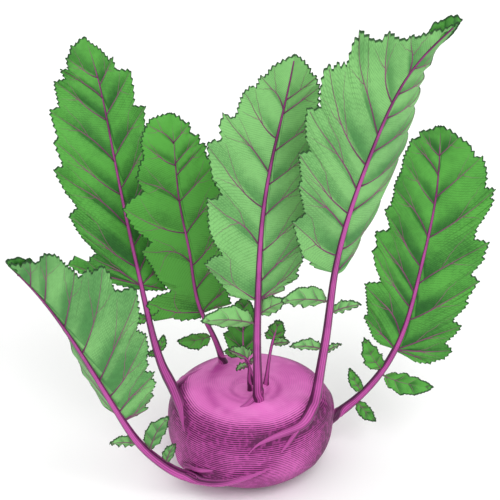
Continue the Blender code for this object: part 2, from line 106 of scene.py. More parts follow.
def makePiece(name, grids, material, nodes=()):
    # all the closed grids put into one mesh, in metres, with their maps as point attributes
    offsets = np.cumsum([0] + [len(g["verts"]) for g in grids])
    verts = np.concatenate([g["verts"] for g in grids]) * mm
    quads = np.concatenate([g["quads"] + o for g, o in zip(grids, offsets)])
    tris = np.concatenate([g["tris"] + o for g, o in zip(grids, offsets)])
    mesh = bpy.data.meshes.new(name)
    mesh.vertices.add(len(verts))
    mesh.vertices.foreach_set("co", verts.astype(np.float32).ravel())
    loops = np.concatenate([quads.ravel(), tris.ravel()]).astype(np.int32)
    mesh.loops.add(len(loops))
    mesh.loops.foreach_set("vertex_index", loops)
    starts = np.concatenate([np.arange(len(quads)) * 4, len(quads) * 4 + np.arange(len(tris)) * 3])
    mesh.polygons.add(len(starts))
    mesh.polygons.foreach_set("loop_start", starts.astype(np.int32))
    mesh.update(calc_edges=True)
    mesh.validate()
    mesh.shade_smooth()
    for key in grids[0]["maps"]:
        values = np.concatenate([g["maps"][key] for g in grids]).astype(np.float32)
        mesh.attributes.new(key, "FLOAT_VECTOR", "POINT").data.foreach_set("vector", values.ravel())
    mesh.materials.append(material)
    piece = bpy.data.objects.new(name, mesh)
    bpy.context.scene.collection.objects.link(piece)
    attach(piece, "root")
    if nodes:
        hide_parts(*nodes)


# Node trees

class Look:
    # a Principled material with short calls for its nodes
    def __init__(self, name):
        self.material = bpy.data.materials.new(name)
        self.material.use_nodes = True
        self.tree = self.material.node_tree
        self.shader = self.tree.nodes["Principled BSDF"]

    def feed(self, socket, value):
        if isinstance(value, bpy.types.NodeSocket):
            self.tree.links.new(value, socket)
        else:
            socket.default_value = value

    def sum(self, how, a, b=0.0, c=0.0):
        node = self.tree.nodes.new("ShaderNodeMath")
        node.operation = how
        for socket, value in zip(node.inputs, (a, b, c)):
            self.feed(socket, value)
        return node.outputs[0]

    def times(self, a, b):
        return self.sum("MULTIPLY", a, b)

    def map(self, name):
        # the three values of a point attribute
        node = self.tree.nodes.new("ShaderNodeAttribute")
        node.attribute_name = name
        split = self.tree.nodes.new("ShaderNodeSeparateXYZ")
        self.feed(split.inputs[0], node.outputs["Vector"])
        return split.outputs

    def place(self):
        return self.tree.nodes.new("ShaderNodeTexCoord").outputs["Object"]

    def noise(self, scale, detail=3.0, vector=None):
        node = self.tree.nodes.new("ShaderNodeTexNoise")
        node.inputs["Scale"].default_value = scale
        node.inputs["Detail"].default_value = detail
        self.feed(node.inputs["Vector"], vector or self.place())
        return node.outputs["Fac"]

    def span(self, value, low, high, toLow=0.0, toHigh=1.0):
        node = self.tree.nodes.new("ShaderNodeMapRange")
        node.interpolation_type = "SMOOTHSTEP"
        for socket, number in zip(node.inputs, (value, low, high, toLow, toHigh)):
            self.feed(socket, number)
        return node.outputs[0]

    def mix(self, share, a, b, how="MIX"):
        node = self.tree.nodes.new("ShaderNodeMix")
        node.data_type = "RGBA"
        node.blend_type = how
        self.feed(node.inputs[0], share)
        self.feed(node.inputs[6], a)
        self.feed(node.inputs[7], b)
        return node.outputs[2]

    def bump(self, height, strength, distance, under=None):
        node = self.tree.nodes.new("ShaderNodeBump")
        node.inputs["Strength"].default_value = strength
        node.inputs["Distance"].default_value = distance
        self.feed(node.inputs["Height"], height)
        if under:
            self.feed(node.inputs["Normal"], under)
        return node.outputs[0]

    def finish(self, base, rough, normal, specular):
        for name, value in (("Base Color", base), ("Roughness", rough), ("Normal", normal),
                            ("Specular IOR Level", specular)):
            self.feed(self.shader.inputs[name], value)
        return self.material

    def ink(self, along, spacing, sway, tone):
        # parallel strokes: a sine of the distance over the spacing, swayed by noise, kept over a share of its
        # turn that grows with the tone, so that darker places have broader strokes
        turn = self.sum("MULTIPLY_ADD", along, 2 * math.pi / spacing, sway)
        over = self.sum("ADD", self.sum("SINE", turn), self.sum("MULTIPLY_ADD", tone, 2.0, -1.0))
        return self.span(over, -0.4, 0.4)


def colour(red, green, blue):
    # screen values from 0 to 255 turned into the linear colour that a shader takes
    made = []
    for part in (red, green, blue):
        c = part / 255
        made.append(c / 12.92 if c <= 0.04045 else ((c + 0.055) / 1.055) ** 2.4)
    return (*made, 1.0)


# Bulb

bulb = {
    "radius": 44.5, "height": 51.0, "widestAt": 24.0, "footCut": 2.0, "oval": 0.012, "threeSided": 0.008,
    "squareAbove": 3.3, "squareBelow": 2.4, "dimpleDepth": 1.6, "dimpleRadius": 16.0,
    "columns": 320, "rows": 190, "lastLatitude": 89.2,
    # swellings under the leaf bases: (azimuth, latitude) points, height, half width, thinning at the end
    "ridges": [
        ([(-30, 36), (-39, 31), (-48, 30), (-58, 29), (-69, 29), (-78, 27), (-85, 22), (-91, 14)],
         2.4, 3.6, 0.6),
        ([(-44, 33), (-50, 30), (-55, 26), (-60, 20), (-68, 9)], 1.6, 2.6, 0.6),
        ([(-14, 26), (-22, 30), (-30, 36)], 1.6, 6.0, 0.2),
        ([(184, 46), (196, 39), (210, 35), (219, 22), (224, 12)], 2.8, 3.6, 0.6),
        ([(168, 44), (184, 46), (200, 42)], 2.4, 5.0, 0.4),
        ([(-134, -22), (-121, -24), (-101, -9), (-87, -2), (-74, 2)], 2.4, 4.0, 0.6),
        ([(-142, -17), (-129, -9), (-117, -7), (-106, -4)], 1.8, 2.8, 0.8),
        ([(-150, -22), (-134, -24), (-116, -22)], 2.4, 5.5, 0.5),
        ([(12, 10), (0, 6), (-13, 3)], 1.2, 4.4, 0.8),
        ([(129, 69), (144, 71), (156, 71)], 2.0, 3.0, 0.8),
        ([(120, 68), (132, 70), (140, 76)], 1.4, 4.0, 0.6),
        ([(-70, 80), (-87, 75), (-99, 71)], 1.2, 2.8, 0.8),
        ([(-31, 87), (119, 86)], 1.6, 5.0, 0.3),
    ],
    # points read per corner of a ridge, power of its fade, half width from which it has no strip of painted
    # shade
    "ridgeSteps": 16, "ridgeFade": 1.6, "noStripFrom": 4.5,
    # mounds that the stalks come out of: place on the skin, height, half width
    "mounds": [(31, -19, 45, 3.6, 6.5), (-36, -7, 45, 3.4, 6.5), (4.2, -17.5, 50, 2.2, 4.5),
               (-14, 17, 50, 2.4, 4.4), (42, 8, 18, 1.8, 5.5), (-22, -35, 13, 2.0, 6.5)],
    # old leaf scars: azimuth, latitude; each a lip, and a crease above it: height, half width, half height
    "scars": [(60, 22), (95, 10), (150, 4), (25, -14), (118, -20), (-25, -30)],
    "scarLip": (0.9, 7, 1.6), "scarCrease": (1.1, 5, 0.7), "creaseAbove": 0.8,
    # shallow rings round the heart on the flat top: distance from its middle, depth, width
    "heart": (-1.0, -6.0), "rings": [(6.5, 0.4, 1.2), (10.0, 0.35, 1.4), (15.0, 0.3, 2.0), (23.0, 0.25, 3.0)],
    # flat top: where its rim begins and ends from the axis, and between which heights it fades in
    "rim": (29.0, 37.5), "rimHeights": (38, 46),
    # painted highlight (paler) and painted shade (below 0, darker) patches on the side: azimuth, height, half
    # width, half height, how much
    "lightAndShadePatches": [(-62, 22, 15, 10, 0.42), (-36, 30, 7, 10, 0.2), (-148, 20, 6, 10, 0.2), (70, 24, 18, 12, 0.2),
                (135, 24, 16, 12, 0.2), (-24, 26, 14, 24, -0.4), (-172, 26, 10, 22, -0.2),
                (-118, 20, 8, 12, -0.12)],
}


def squaredOff(above):
    # exponent and half height of the squared-off ellipse, above and below its widest level
    square = np.where(above, bulb["squareAbove"], bulb["squareBelow"])
    return square, np.where(above, bulb["height"] - bulb["widestAt"], bulb["widestAt"] + bulb["footCut"])


def plainBulb(azimuth, latitude):
    # flattened globe: squared-off ellipse turned about z, a little out of round, hollowed at the top
    square, reach = squaredOff(latitude > 0)
    across = np.abs(np.cos(latitude)) ** (2 / square)
    height = np.sign(np.sin(latitude)) * np.abs(np.sin(latitude)) ** (2 / square)
    outOfRound = 1 + bulb["oval"] * np.sin(2 * azimuth + 1.0) + bulb["threeSided"] * np.sin(3 * azimuth + 0.5)
    radius = bulb["radius"] * across * outOfRound
    z = bulb["widestAt"] + reach * height
    z = z - np.where(height > 0, bulb["dimpleDepth"] * np.exp(-(radius / bulb["dimpleRadius"]) ** 2), 0)
    return np.stack([radius * np.cos(azimuth), radius * np.sin(azimuth), z], axis=-1)


def outwardOf(points):
    # direction out of the bulb: the gradient of an ellipsoid of its radius and widest height
    halves = np.array([bulb["radius"], bulb["radius"], bulb["widestAt"]])
    return unitRows((points - [0, 0, bulb["widestAt"]]) / halves ** 2)


def ridgeLift(plain):
    # each mound and ridge: height x exp(-(distance / width)^2), a ridge fading along its line; the lift is
    # the cube root of their summed cubes; beside: how much a place lies in the strip of painted shade next to
    # a ridge
    lift = np.zeros(len(plain))
    beside = np.zeros(len(plain))
    for x, y, z, height, width in bulb["mounds"]:
        lift += (height * np.exp(-(np.linalg.norm(plain - [x, y, z], axis=1) / width) ** 2)) ** 3
    for path, height, width, thinning in bulb["ridges"]:
        path = np.radians(np.array(path, float))
        steps = np.linspace(0, len(path) - 1, bulb["ridgeSteps"] * len(path))
        line = plainBulb(*(np.interp(steps, range(len(path)), angles) for angles in path.T))
        low, high = line.min(0) - 4 * width, line.max(0) + 4 * width
        near = np.nonzero(((plain > low) & (plain < high)).all(1))[0]
        distance = np.linalg.norm(plain[near, None] - line[None], axis=2)
        fade = 1 - (steps / steps[-1]) ** bulb["ridgeFade"]
        broad = width * (1 - thinning * 0.6 * steps / steps[-1])
        lift[near] += (height * fade * np.exp(-((distance / broad) ** 2))).max(axis=1) ** 3
        # painted shade: a strip just beside the ridge, darkened as if in the ridge's shade
        strip = (fade ** 0.5 * np.exp(-(((distance - 0.8 * broad) / (0.45 * broad)) ** 2))).max(axis=1)
        beside[near] = np.maximum(beside[near], strip * (width < bulb["noStripFrom"]))
    return np.cbrt(lift), beside


def bulbSkin(azimuth, latitude):
    # plain bulb, its outward direction, the lift of mounds and ridges along it, the strips of painted shade
    # beside them
    plain = plainBulb(azimuth, latitude)
    return (plain, outwardOf(plain), *ridgeLift(plain))


def paintedShadeTone(plain, azimuth, beside, onTop, ringShade):
    # painted shade and painted highlight, and how dark the strokes are: 0.62 on the side, painted as in
    # shade, and 0.08 on the lit flat top; painted shade towards the top's right and back, below its rim, at
    # the foot, in its rings and beside ridges; painted highlight on its front lip; painted highlight and
    # painted shade in the patches
    height, away, facing = plain[:, 2], np.hypot(plain[:, 0], plain[:, 1]), np.sin(azimuth)
    # painted shade: the side darker than the flat top; darker towards the top's right and back edge, in a
    # band below the rim, at the foot, in the rings and beside ridges
    tone = 0.62 - 0.54 * onTop + 0.3 * onTop * smoothStep(6, 34, plain[:, 0])
    tone += 0.35 * onTop * smoothStep(10, 34, away) * smoothStep(-0.4, 0.8, facing)
    tone += 0.24 * (1 - onTop) * np.exp(-(((height - 40) / 5) ** 2))
    tone += 0.24 * smoothStep(14, 1, height)
    tone += 0.7 * ringShade * onTop + 0.4 * beside
    # painted highlight: a paler band on the flat top's front lip
    tone -= 0.22 * np.exp(-(((away - 34.5) / 3.2) ** 2)) * smoothStep(0.2, -0.6, facing)
    # painted highlight and painted shade: each patch is paler, and darker where its value is below 0
    for middle, level, wide, tall, paler in bulb["lightAndShadePatches"]:
        turn = (azimuth - math.radians(middle) + np.pi) % (2 * np.pi) - np.pi
        patch = np.exp(-((turn * bulb["radius"] / wide) ** 2) - ((height - level) / tall) ** 2)
        tone -= paler * patch * (1 - onTop)
    return tone


def addScars(plain, lift, beside):
    # each scar: a lip, height x exp(-(across / wide)^2 - (up / tall)^2), and likewise a crease above it
    (lip, lipWide, lipTall), (cut, cutWide, cutTall) = bulb["scarLip"], bulb["scarCrease"]
    for scar in bulb["scars"]:
        away = plain - plainBulb(*np.radians(scar)[:, None])[0]
        across, up = np.hypot(away[:, 0], away[:, 1]), away[:, 2]
        lift += lip * np.exp(-((across / lipWide) ** 2) - ((up / lipTall) ** 2))
        crease = np.exp(-((across / cutWide) ** 2) - (((up - bulb["creaseAbove"]) / cutTall) ** 2))
        lift -= cut * crease
        # painted shade: the crease is darkened like the strips beside ridges
        beside = np.maximum(beside, crease)
    return beside


def makeBulb(material):
    # a closed grid from foot to top: plain bulb + ridges, rings, scars and swells along its outward direction
    latitude = np.radians(np.linspace(-bulb["lastLatitude"], bulb["lastLatitude"], bulb["rows"]))
    azimuth = np.linspace(0, 2 * np.pi, bulb["columns"], endpoint=False)
    lat, az = (g.ravel() for g in np.meshgrid(latitude, azimuth, indexing="ij"))
    plain, outward, lift, beside = bulbSkin(az, lat)
    fromAxis = np.hypot(plain[:, 0], plain[:, 1])
    onTop = (1 - smoothStep(*bulb["rim"], fromAxis)) * smoothStep(*bulb["rimHeights"], plain[:, 2])
    fromHeart = np.hypot(plain[:, 0] - bulb["heart"][0], plain[:, 1] - bulb["heart"][1])
    ringShade = np.zeros(len(plain))
    for ring, depth, width in bulb["rings"]:
        around = np.exp(-(((fromHeart - ring * (1 + 0.1 * np.sin(2 * az + ring))) / width) ** 2))
        lift -= depth * onTop * around
        # painted shade in each shallow ring, darker on one side of it
        ringShade += around * (0.5 + 0.5 * np.sin(az + ring)) * depth / 0.4
    beside = addScars(plain, lift, beside)
    lift += 0.25 * np.sin(5 * az + 2 * lat) * np.cos(3 * lat)
    skin = plain + outward * lift[:, None]
    skin[:, 2] = np.maximum(skin[:, 2], 0)
    shape = (bulb["rows"], bulb["columns"])
    rings = plain.reshape(*shape, 3)
    down = np.linalg.norm(np.diff(rings, axis=0, append=rings[-1:]), axis=2)
    arc = np.cumsum(down[::-1], axis=0)[::-1].mean(axis=1, keepdims=True) * np.ones((1, bulb["columns"]))
    # tone: painted shade and painted highlight, carried to the material in skinMap
    tone = paintedShadeTone(plain, az, beside, onTop, ringShade)
    skinMap = np.stack([arc, tone.reshape(shape), onTop.reshape(shape)], axis=-1)
    grid = closedGrid(skin.reshape(*shape, 3), {"skinMap": skinMap})
    makePiece("bulbSkin", [grid], material, ["bulb"])


def bulbLook():
    look = Look("purpleSkin")
    arc, tone, top = look.map("skinMap")
    wander, grain, fine = look.noise(48.0, 2.0), look.noise(420.0, 2.0), look.noise(900.0, 3.0)
    tone = look.sum("ADD", tone, look.span(look.noise(34.0, 3.0), 0.25, 0.75, -0.14, 0.14))
    # painted shade: from pale pink to darker purple by the tone
    base = look.mix(look.span(tone, 0.0, 0.95), colour(222, 112, 192), colour(184, 68, 156))
    # paler blotches on the flat top
    blotches = look.times(look.span(look.noise(90.0, 3.0), 0.35, 0.7, 0.0, 0.5), top)
    base = look.mix(blotches, base, colour(234, 134, 206))
    # hatch strokes, broader where the tone paints shade; strong on the side and faint on the flat top,
    # painting the side as in shade
    strokes = look.ink(arc, 1.15, look.times(wander, 9.0), tone)
    strokes = look.times(strokes, look.span(grain, 0.3, 0.55, 0.55, 1.0))
    base = look.mix(look.times(strokes, look.span(top, 0.0, 0.95, 0.86, 0.12)), base, colour(50, 4, 40))
    lines = look.bump(look.sum("SUBTRACT", 1.0, strokes), 0.3, 0.0003)
    return look.finish(base, look.span(fine, 0.2, 0.8, 0.48, 0.62), look.bump(fine, 0.12, 0.0003, lines), 0.2)


makeBulb(bulbLook())
print("bulb made")


# Leaves

widthStations = (0, 0.12, 0.3, 0.5, 0.7, 0.82, 0.92, 1)
# margins: places read along each, places to soften corners over, mm to soften directions over, share of a
# small tooth that rises, mm over which the teeth grow at the start and fade at the end
marginRule = {"places": 1600, "softCorners": 3, "softTurns": 4, "rising": 0.75, "easeIn": 5, "easeOut": 2.5}
# blades: least width that the curl is measured on, the share of it at which the curl stops, waves along a
# blade, how much thinner the margin is
sheetRule = {"leastWidth": 4, "mostShare": 1.4, "waves": 2.6, "edgeThinning": 0.6}


def leafAxis(leaf, count=480):
    # centre line of stalk and midrib with its frame: along it, to the right half, towards the upper face
    points, length = curveThrough(leaf["route"], count)
    neckPoint = np.array(leaf["route"][leaf["neck"]], float)
    neck = np.argmin(np.linalg.norm(points - neckPoint, axis=1)) / (count - 1)
    along = unitRows(np.gradient(points, axis=0))
    opening = np.clip((np.linspace(0, 1, count) - neck) / (1 - neck), 0, 1)[:, None]
    hint = (1 - opening) * np.array(leaf["opens"][0]) + opening * np.array(leaf["opens"][1])
    right = unitRows(hint - (hint * along).sum(1, keepdims=True) * along)
    facing = np.cross(right, along)
    return {"points": points, "along": along, "right": right, "up": facing if leaf["upper"] else -facing,
            "length": length, "neck": neck, "blade": length * (1 - neck)}


def readAxis(axis, share):
    # the axis's point and frame at shares of its whole length, and straight on past either end
    count = len(axis["points"])
    inside = np.clip(share, 0, 1)
    place = inside * (count - 1)
    low = np.minimum(place.astype(int), count - 2)
    part = (place - low)[..., None]
    point, along, right, up = (axis[k][low] * (1 - part) + axis[k][low + 1] * part
                               for k in ("points", "along", "right", "up"))
    return point + along * ((share - inside) * axis["length"])[..., None], along, right, up


def soften(values, width):
    # running average under a bell curve, with the end values held
    kernel = np.exp(-np.linspace(-2, 2, 2 * width + 1) ** 2)
    padded = np.concatenate([np.full(width, values[0]), values, np.full(width, values[-1])])
    return np.convolve(padded, kernel / kernel.sum(), mode="valid")


def evenCorners(leaf, half, length):
    # margin corners by rule: for each lobe a tooth's tip at 0.62 of it, then a notch 0.16 of it further on,
    # above and below the widths by half a cut that varies by a sine; x (1 - place^blunt)^0.6 rounds the tip
    tip = (np.arange(leaf["lobes"]) + 0.62) / leaf["lobes"]
    place = np.stack([tip, tip + 0.16 / leaf["lobes"]], axis=1).ravel()
    place = np.concatenate([[half["rise"]] * 2, np.minimum(place, 0.985), [1]])
    cut = leaf["tooth"] * (1 + 0.35 * np.sin(2.3 * np.arange(leaf["lobes"]) + leaf["phase"]))
    grow = np.concatenate([[0.1, 0.9], (1 + np.stack([cut, -cut], axis=1) / 2).ravel(), [0]])
    reach = np.interp(place, widthStations, half["widths"])
    reach *= (1 - np.clip(place, 0, 1) ** leaf["blunt"]) ** 0.6
    return np.stack([place * length, reach * grow], axis=1), 2 + 2 * np.arange(leaf["lobes"])


def marginOf(leaf, half, axis):
    # margin read evenly by its run: corners joined and softened, small teeth set square to it by a saw of the
    # sum of step / pitch; a side vein that ends there left the midrib at place - lean x reach
    if "edge" in half:
        corners, tips = np.array(half["edge"], float), half["veins"]
    else:
        corners, tips = evenCorners(leaf, half, axis["blade"])
    run = np.concatenate([[0], np.cumsum(np.hypot(*np.diff(corners, axis=0).T))])
    q = np.linspace(0, run[-1], marginRule["places"])
    place, reach = (soften(np.interp(q, run, corners[:, i]), marginRule["softCorners"]) for i in range(2))
    broad = int(marginRule["places"] * marginRule["softTurns"] / run[-1])
    step = np.stack([np.gradient(soften(place, broad)), np.gradient(soften(reach, broad))])
    step /= np.maximum(np.hypot(*step), 1e-9)
    pitch = leaf["toothPitch"] * (1 + 0.2 * np.sin(q / 17 + leaf["phase"]))
    turn = np.cumsum(1 / pitch) * q[1]
    part, rising = turn % 1, marginRule["rising"]
    saw = np.where(part > rising, (1 - part) / (1 - rising), part / rising) - 0.5
    height = half.get("toothHeight", leaf["toothHeight"])
    saw *= height * (1 + 0.4 * np.sin(4.1 * np.floor(turn) + leaf["phase"]))
    saw *= smoothStep(0, marginRule["easeIn"], q) * smoothStep(0, marginRule["easeOut"], run[-1] - q)
    # past smoothPast, where a half has it, the teeth fade to a fifth within 8 mm
    saw *= 1 - 0.8 * smoothStep(0, 8, place - half.get("smoothPast", 1000))
    lean = np.interp(place / axis["blade"], (0, 1), half.get("lean", leaf["lean"]))
    start = soften((place - lean * reach) / axis["blade"], broad)
    start = np.clip(np.maximum.accumulate(start), 0, 0.998)
    tips = run[list(tips)] / run[-1]
    knots = np.concatenate([[0], tips, [1]])
    return {"q": q / run[-1], "start": start, "place": (place - step[1] * saw) / axis["blade"],
            "reach": np.maximum(reach + step[0] * saw, 0.12), "tips": tips, "run": run[-1],
            "panel": np.interp(q / run[-1], knots, np.arange(len(knots)) - 1.0)}


def sheetPoint(leaf, axis, sign, s, across):
    # the blade's middle layer at s along the midrib and across from it: turned by a fold that changes evenly
    # along it, bent by curl x share of width, waved by share^2 x sin along it
    half = leaf["left"] if sign < 0 else leaf["right"]
    width = np.maximum(np.interp(s, widthStations, half["widths"]), sheetRule["leastWidth"])
    share = np.minimum(across / width, sheetRule["mostShare"])
    turn = np.radians(half["fold"] + (half.get("endFold", half["fold"]) - half["fold"]) * np.clip(s, 0, 1))
    bend = np.radians(half["curl"]) * share
    chord = across * np.sinc(bend / (2 * np.pi))
    middle, along, right, up = readAxis(axis, axis["neck"] + (1 - axis["neck"]) * s)
    wave = leaf["wave"] * share ** 2 * np.sin(2 * np.pi * sheetRule["waves"] * s + leaf["phase"] + sign)
    side, tall = chord * np.cos(turn + bend / 2), chord * np.sin(turn + bend / 2) + wave
    level, steep = np.cos(turn + bend)[..., None], np.sin(turn + bend)[..., None]
    point = middle + sign * right * side[..., None] + up * tall[..., None]
    return point, up * level - sign * right * steep


def bladePoint(leaf, axis, sign, margin, q, v):
    # the point v of the way out from the midrib to the margin's place q, on a straight line in the flat leaf,
    # puffed between the side veins by 2.2 quilt x |sin(pi panel)|^0.8 x v (1 - 0.65 v), frilled by
    # frill x v^3 x sin(2 pi panel), and set back by behind, where a half has it
    half = leaf["left"] if sign < 0 else leaf["right"]
    start, place, reach, panel = (np.interp(q, margin["q"], margin[k])
                                  for k in ("start", "place", "reach", "panel"))
    across = reach * v
    point, face = sheetPoint(leaf, axis, sign, start + (place - start) * v, across)
    puff = leaf["quilt"] * np.abs(np.sin(np.pi * panel)) ** 0.8 * v * (1 - 0.65 * v) * 2.2
    frill = leaf["frill"] * v ** 3 * np.sin(2 * np.pi * panel + leaf["phase"])
    behind = half.get("behind", 0) * smoothStep(0, 3, across)
    return point + face * (puff + frill + behind)[..., None], face, reach - across, panel


def thickness(leaf, v):
    # of a blade, v of the way out
    return leaf["thick"] * (1 - sheetRule["edgeThinning"] * v)


def bladeShell(leaf, axis, margins, rows, columns):
    # both faces of a blade as one flattened tube: upper face from left to right, lower face back;
    # bladeMap: paler (painted light for the whole leaf), way out, panel; bladeRim: mm from the margin, 1 on
    # the upper face
    q = np.linspace(0, 1, rows)[:, None] * np.ones((1, columns + 1))
    v = np.ones((rows, 1)) * (np.linspace(0, 1, columns + 1) ** 0.8)[None]
    sheets = []
    for sign, margin in zip((-1, 1), margins):
        point, face, rim, panel = bladePoint(leaf, axis, sign, margin, q, v)
        info = np.stack([np.full(v.shape, leaf["paler"]), v, panel], axis=-1)
        sheets.append((point, face, thickness(leaf, v)[..., None], info, rim))
    point, face, thick, info, rim = (np.concatenate([a[:, ::-1], b[:, 1:]], axis=1) for a, b in zip(*sheets))
    ring = np.concatenate([point + face * thick / 2, (point - face * thick / 2)[:, ::-1]], axis=1)
    upper = np.concatenate([np.ones_like(rim), np.zeros_like(rim)], axis=1)
    rims = np.stack([np.concatenate([rim, rim[:, ::-1]], axis=1), upper, np.zeros_like(upper)], axis=-1)
    return closedGrid(ring, {"bladeMap": np.concatenate([info, info[:, ::-1]], axis=1), "bladeRim": rims})


def ringsAlong(point, beside, face, wide, tall, maps):
    # rings round a centre line: beside x wide x cos + face x tall x sin, with one row of lengths per point;
    # stalkMap: the first map, share of the turn, the second map
    angle = np.linspace(0, 2 * np.pi, wide.shape[1], endpoint=False)
    ring = (point[:, None] + beside[:, None] * (wide * np.cos(angle))[..., None]
            + face[:, None] * (tall * np.sin(angle))[..., None])
    info = np.broadcast_arrays(maps[0][:, None], angle[None] / (2 * np.pi), maps[1][:, None])
    return closedGrid(ring, {"stalkMap": np.stack(info, axis=-1)})


def veinTube(leaf, axis, sign, margin, q, v, halfWidth, sides=8):
    # a flattened tube along the places (q, v) of one half, halfWidth wide, standing just proud of both faces
    point, face = bladePoint(leaf, axis, sign, margin, q, v)[:2]
    beside = unitRows(np.cross(face, unitRows(np.gradient(point, axis=0))))
    proud = thickness(leaf, v) / 2 + 0.6 * halfWidth
    around = np.ones((1, sides))
    return ringsAlong(point, beside, face, halfWidth[:, None] * around, proud[:, None] * around, (v, v))


def bladeVeins(leaf, axis, margins):
    # a side vein to every main tooth, bowed by a sway that differs from vein to vein, with branches that
    # leave it at a root and fan out towards the next tooth by a share of the way
    tubes = []
    for sign, margin in zip((-1, 1), margins):
        ends = np.concatenate([[0], margin["tips"], [1]])
        for k, tip in enumerate(margin["tips"]):
            t = np.linspace(0, 1, 22)
            sway = 0.10 * (ends[k + 2] - ends[k]) * np.sin(3 * k + sign)
            q = tip + sway * np.sin(np.pi * t) * (1 - t)
            slim = leaf["veinWidth"] * (1 - 0.3 * tip)
            halfWidth = slim * (0.76 - 0.54 * t ** 0.6)
            tubes.append(veinTube(leaf, axis, sign, margin, q, 0.005 + 0.955 * t, halfWidth))
            for root, shift in leaf["branches"]:
                root = root + 0.07 * np.sin(7 * k + 3 * sign)
                reachOut = (ends[k + 2] - tip if shift > 0 else tip - ends[k]) * shift
                t = np.linspace(0, 1, 12)
                q = tip + sway * np.sin(np.pi * root) * (1 - root) * (1 - t) + reachOut * t ** 0.85
                q, v = np.clip(q, 0.005, 0.995), root + (0.9 - root) * t
                tubes.append(veinTube(leaf, axis, sign, margin, q, v, slim * (0.30 - 0.18 * t), 6))
    return tubes


def leavesSkin(axis):
    # how far along its line a stalk comes out of the bulb: the last point inside the squared-off ellipse
    x, y, z = axis["points"].T
    square, reach = squaredOff(z > bulb["widestAt"])
    across, tall = np.hypot(x, y) / bulb["radius"], np.abs(z - bulb["widestAt"]) / reach
    inside = across ** square + tall ** square < 1
    return np.nonzero(inside)[0].max(initial=0) / (len(x) - 1) * axis["length"]


def ridgeFoot(toe):
    # points of a ridge on the skin from its far end to the stalk, sunk by a share of its radius that falls
    # from 1.25 at the far end to 0.4
    plain, outward, lift = bulbSkin(*np.radians(np.array(toe["path"], float)).T)[:3]
    t = np.linspace(0, 1, len(plain))
    sink = (toe["thin"] + (toe["thick"] - toe["thin"]) * t) * (0.4 + 0.85 * (1 - t) ** 2.6)
    return plain + outward * (lift - sink)[:, None]


def tubeFrame(axis, line, out):
    # frame of a line that follows the skin and then the stalk: beside it, and its face, which is the bulb's
    # outward direction up to 2 mm beyond the skin and the leaf's face from 14 mm on; out: mm beyond the skin
    along = unitRows(np.gradient(line, axis=0))
    heading, right, up = readAxis(axis, np.clip((out + leavesSkin(axis)) / axis["length"], 0, 1))[1:]
    facing = np.cross(right, heading)
    onStalk = smoothStep(2, 14, out)[:, None]
    face = outwardOf(line) * (1 - onStalk) + facing * onStalk
    face = unitRows(face - (face * along).sum(1, keepdims=True) * along)
    return np.cross(along, face), face * np.sign((up * facing).sum(1, keepdims=True))


def stalkTube(leaf, axis, rows=300, sides=24):
    # stalk and midrib: along its main ridge on the skin (or from inside the bulb), up the stalk and to the
    # tip; radius even from low to neck, then to tip by the way along the blade^0.85, flared by flare x
    # exp(-mm beyond the skin / its length), thinning along the ridge; fine ribs, and a groove on its face
    skin, length = leavesSkin(axis), axis["length"]
    low, neck, tip = leaf["radii"]
    neckArc = axis["neck"] * length
    end = (axis["neck"] + (1 - axis["neck"]) * leaf["ribEnd"]) * length
    ridge = leaf.get("mainRidge")
    if ridge:
        places = [skin + ridge["join"][0], *np.linspace(skin + ridge["join"][1], end, 40)]
        points = np.concatenate([ridgeFoot(ridge), readAxis(axis, np.array(places) / length)[0]])
    else:
        points = readAxis(axis, np.linspace(-leaf["rooted"], end, 40) / length)[0]
    line, run = curveThrough(points, rows)
    arc = end - run * np.linspace(1, 0, rows)
    out = arc - skin
    onBlade = np.clip((arc - neckArc) / (length - neckArc), 0, 1)
    radius = np.where(arc < neckArc, low + (neck - low) * np.clip(out / (neckArc - skin), 0, 1),
                      neck + (tip - neck) * onBlade ** 0.85)
    radius = radius + leaf["flare"][0] * np.exp(-np.maximum(out, -3) / leaf["flare"][1])
    onRidge = np.ones(rows)
    if ridge:
        onRidge = np.clip((out - out[0]) / (ridge["join"][1] - out[0]), 0, 1)
        radius = ridge["thin"] + (radius - ridge["thin"]) * np.minimum(onRidge / 0.85, 1) ** 1.5
    angle = np.linspace(0, 2 * np.pi, sides, endpoint=False)
    groove = 1 - leaf["groove"] * np.exp(-((np.sin((angle - np.pi / 2) / 2) / 0.28) ** 2))
    ribs = 1 + 0.035 * np.sin(6 * angle + 1)
    profile = radius[:, None] * (groove * ribs)[None]
    return ringsAlong(line, *tubeFrame(axis, line, out), profile, profile, (arc, onBlade + onRidge - 1))


def toeTube(axis, toe, rows=90, sides=16):
    # a further ridge, from its far end along the skin and, where it has a join, into the stalk: radius from
    # thin to thick over the first 0.7 of its length, and halved at its hidden end
    joined = readAxis(axis, (leavesSkin(axis) + np.array(toe["join"], float)) / axis["length"])[0]
    line, run = curveThrough(np.concatenate([ridgeFoot(toe), joined]), rows)
    share = np.linspace(0, 1, rows)
    radius = toe["thin"] + (toe["thick"] - toe["thin"]) * np.minimum(share / 0.7, 1)
    radius *= 1 - 0.5 * smoothStep(0.86, 1, share)
    out = (share - 1) * run + max(toe["join"], default=0)
    profile = radius[:, None] * np.ones((1, sides))
    return ringsAlong(line, *tubeFrame(axis, line, out), profile, profile, (share * run, share - 1))


# a leaflet's half, with widths as shares of its own half width, and what all leaflets have in common
leafletHalf = {"widths": (0.30, 0.74, 1.0, 1.0, 0.88, 0.74, 0.62, 0.5), "rise": 0.0, "fold": 17, "curl": 4}
leafletForm = {"lean": (0.8, 0.8), "lobes": 4, "tooth": 0.14, "toothPitch": 1.6, "toothHeight": 0.4,
               "blunt": 4, "quilt": 0.35, "wave": 0.5, "frill": 0.5, "thick": 0.5, "veinWidth": 0.38,
               "branches": [], "ribEnd": 0.9, "rooted": 0.5, "groove": 0.0, "radii": (0.7, 0.55, 0.2),
               "flare": (0, 1)}


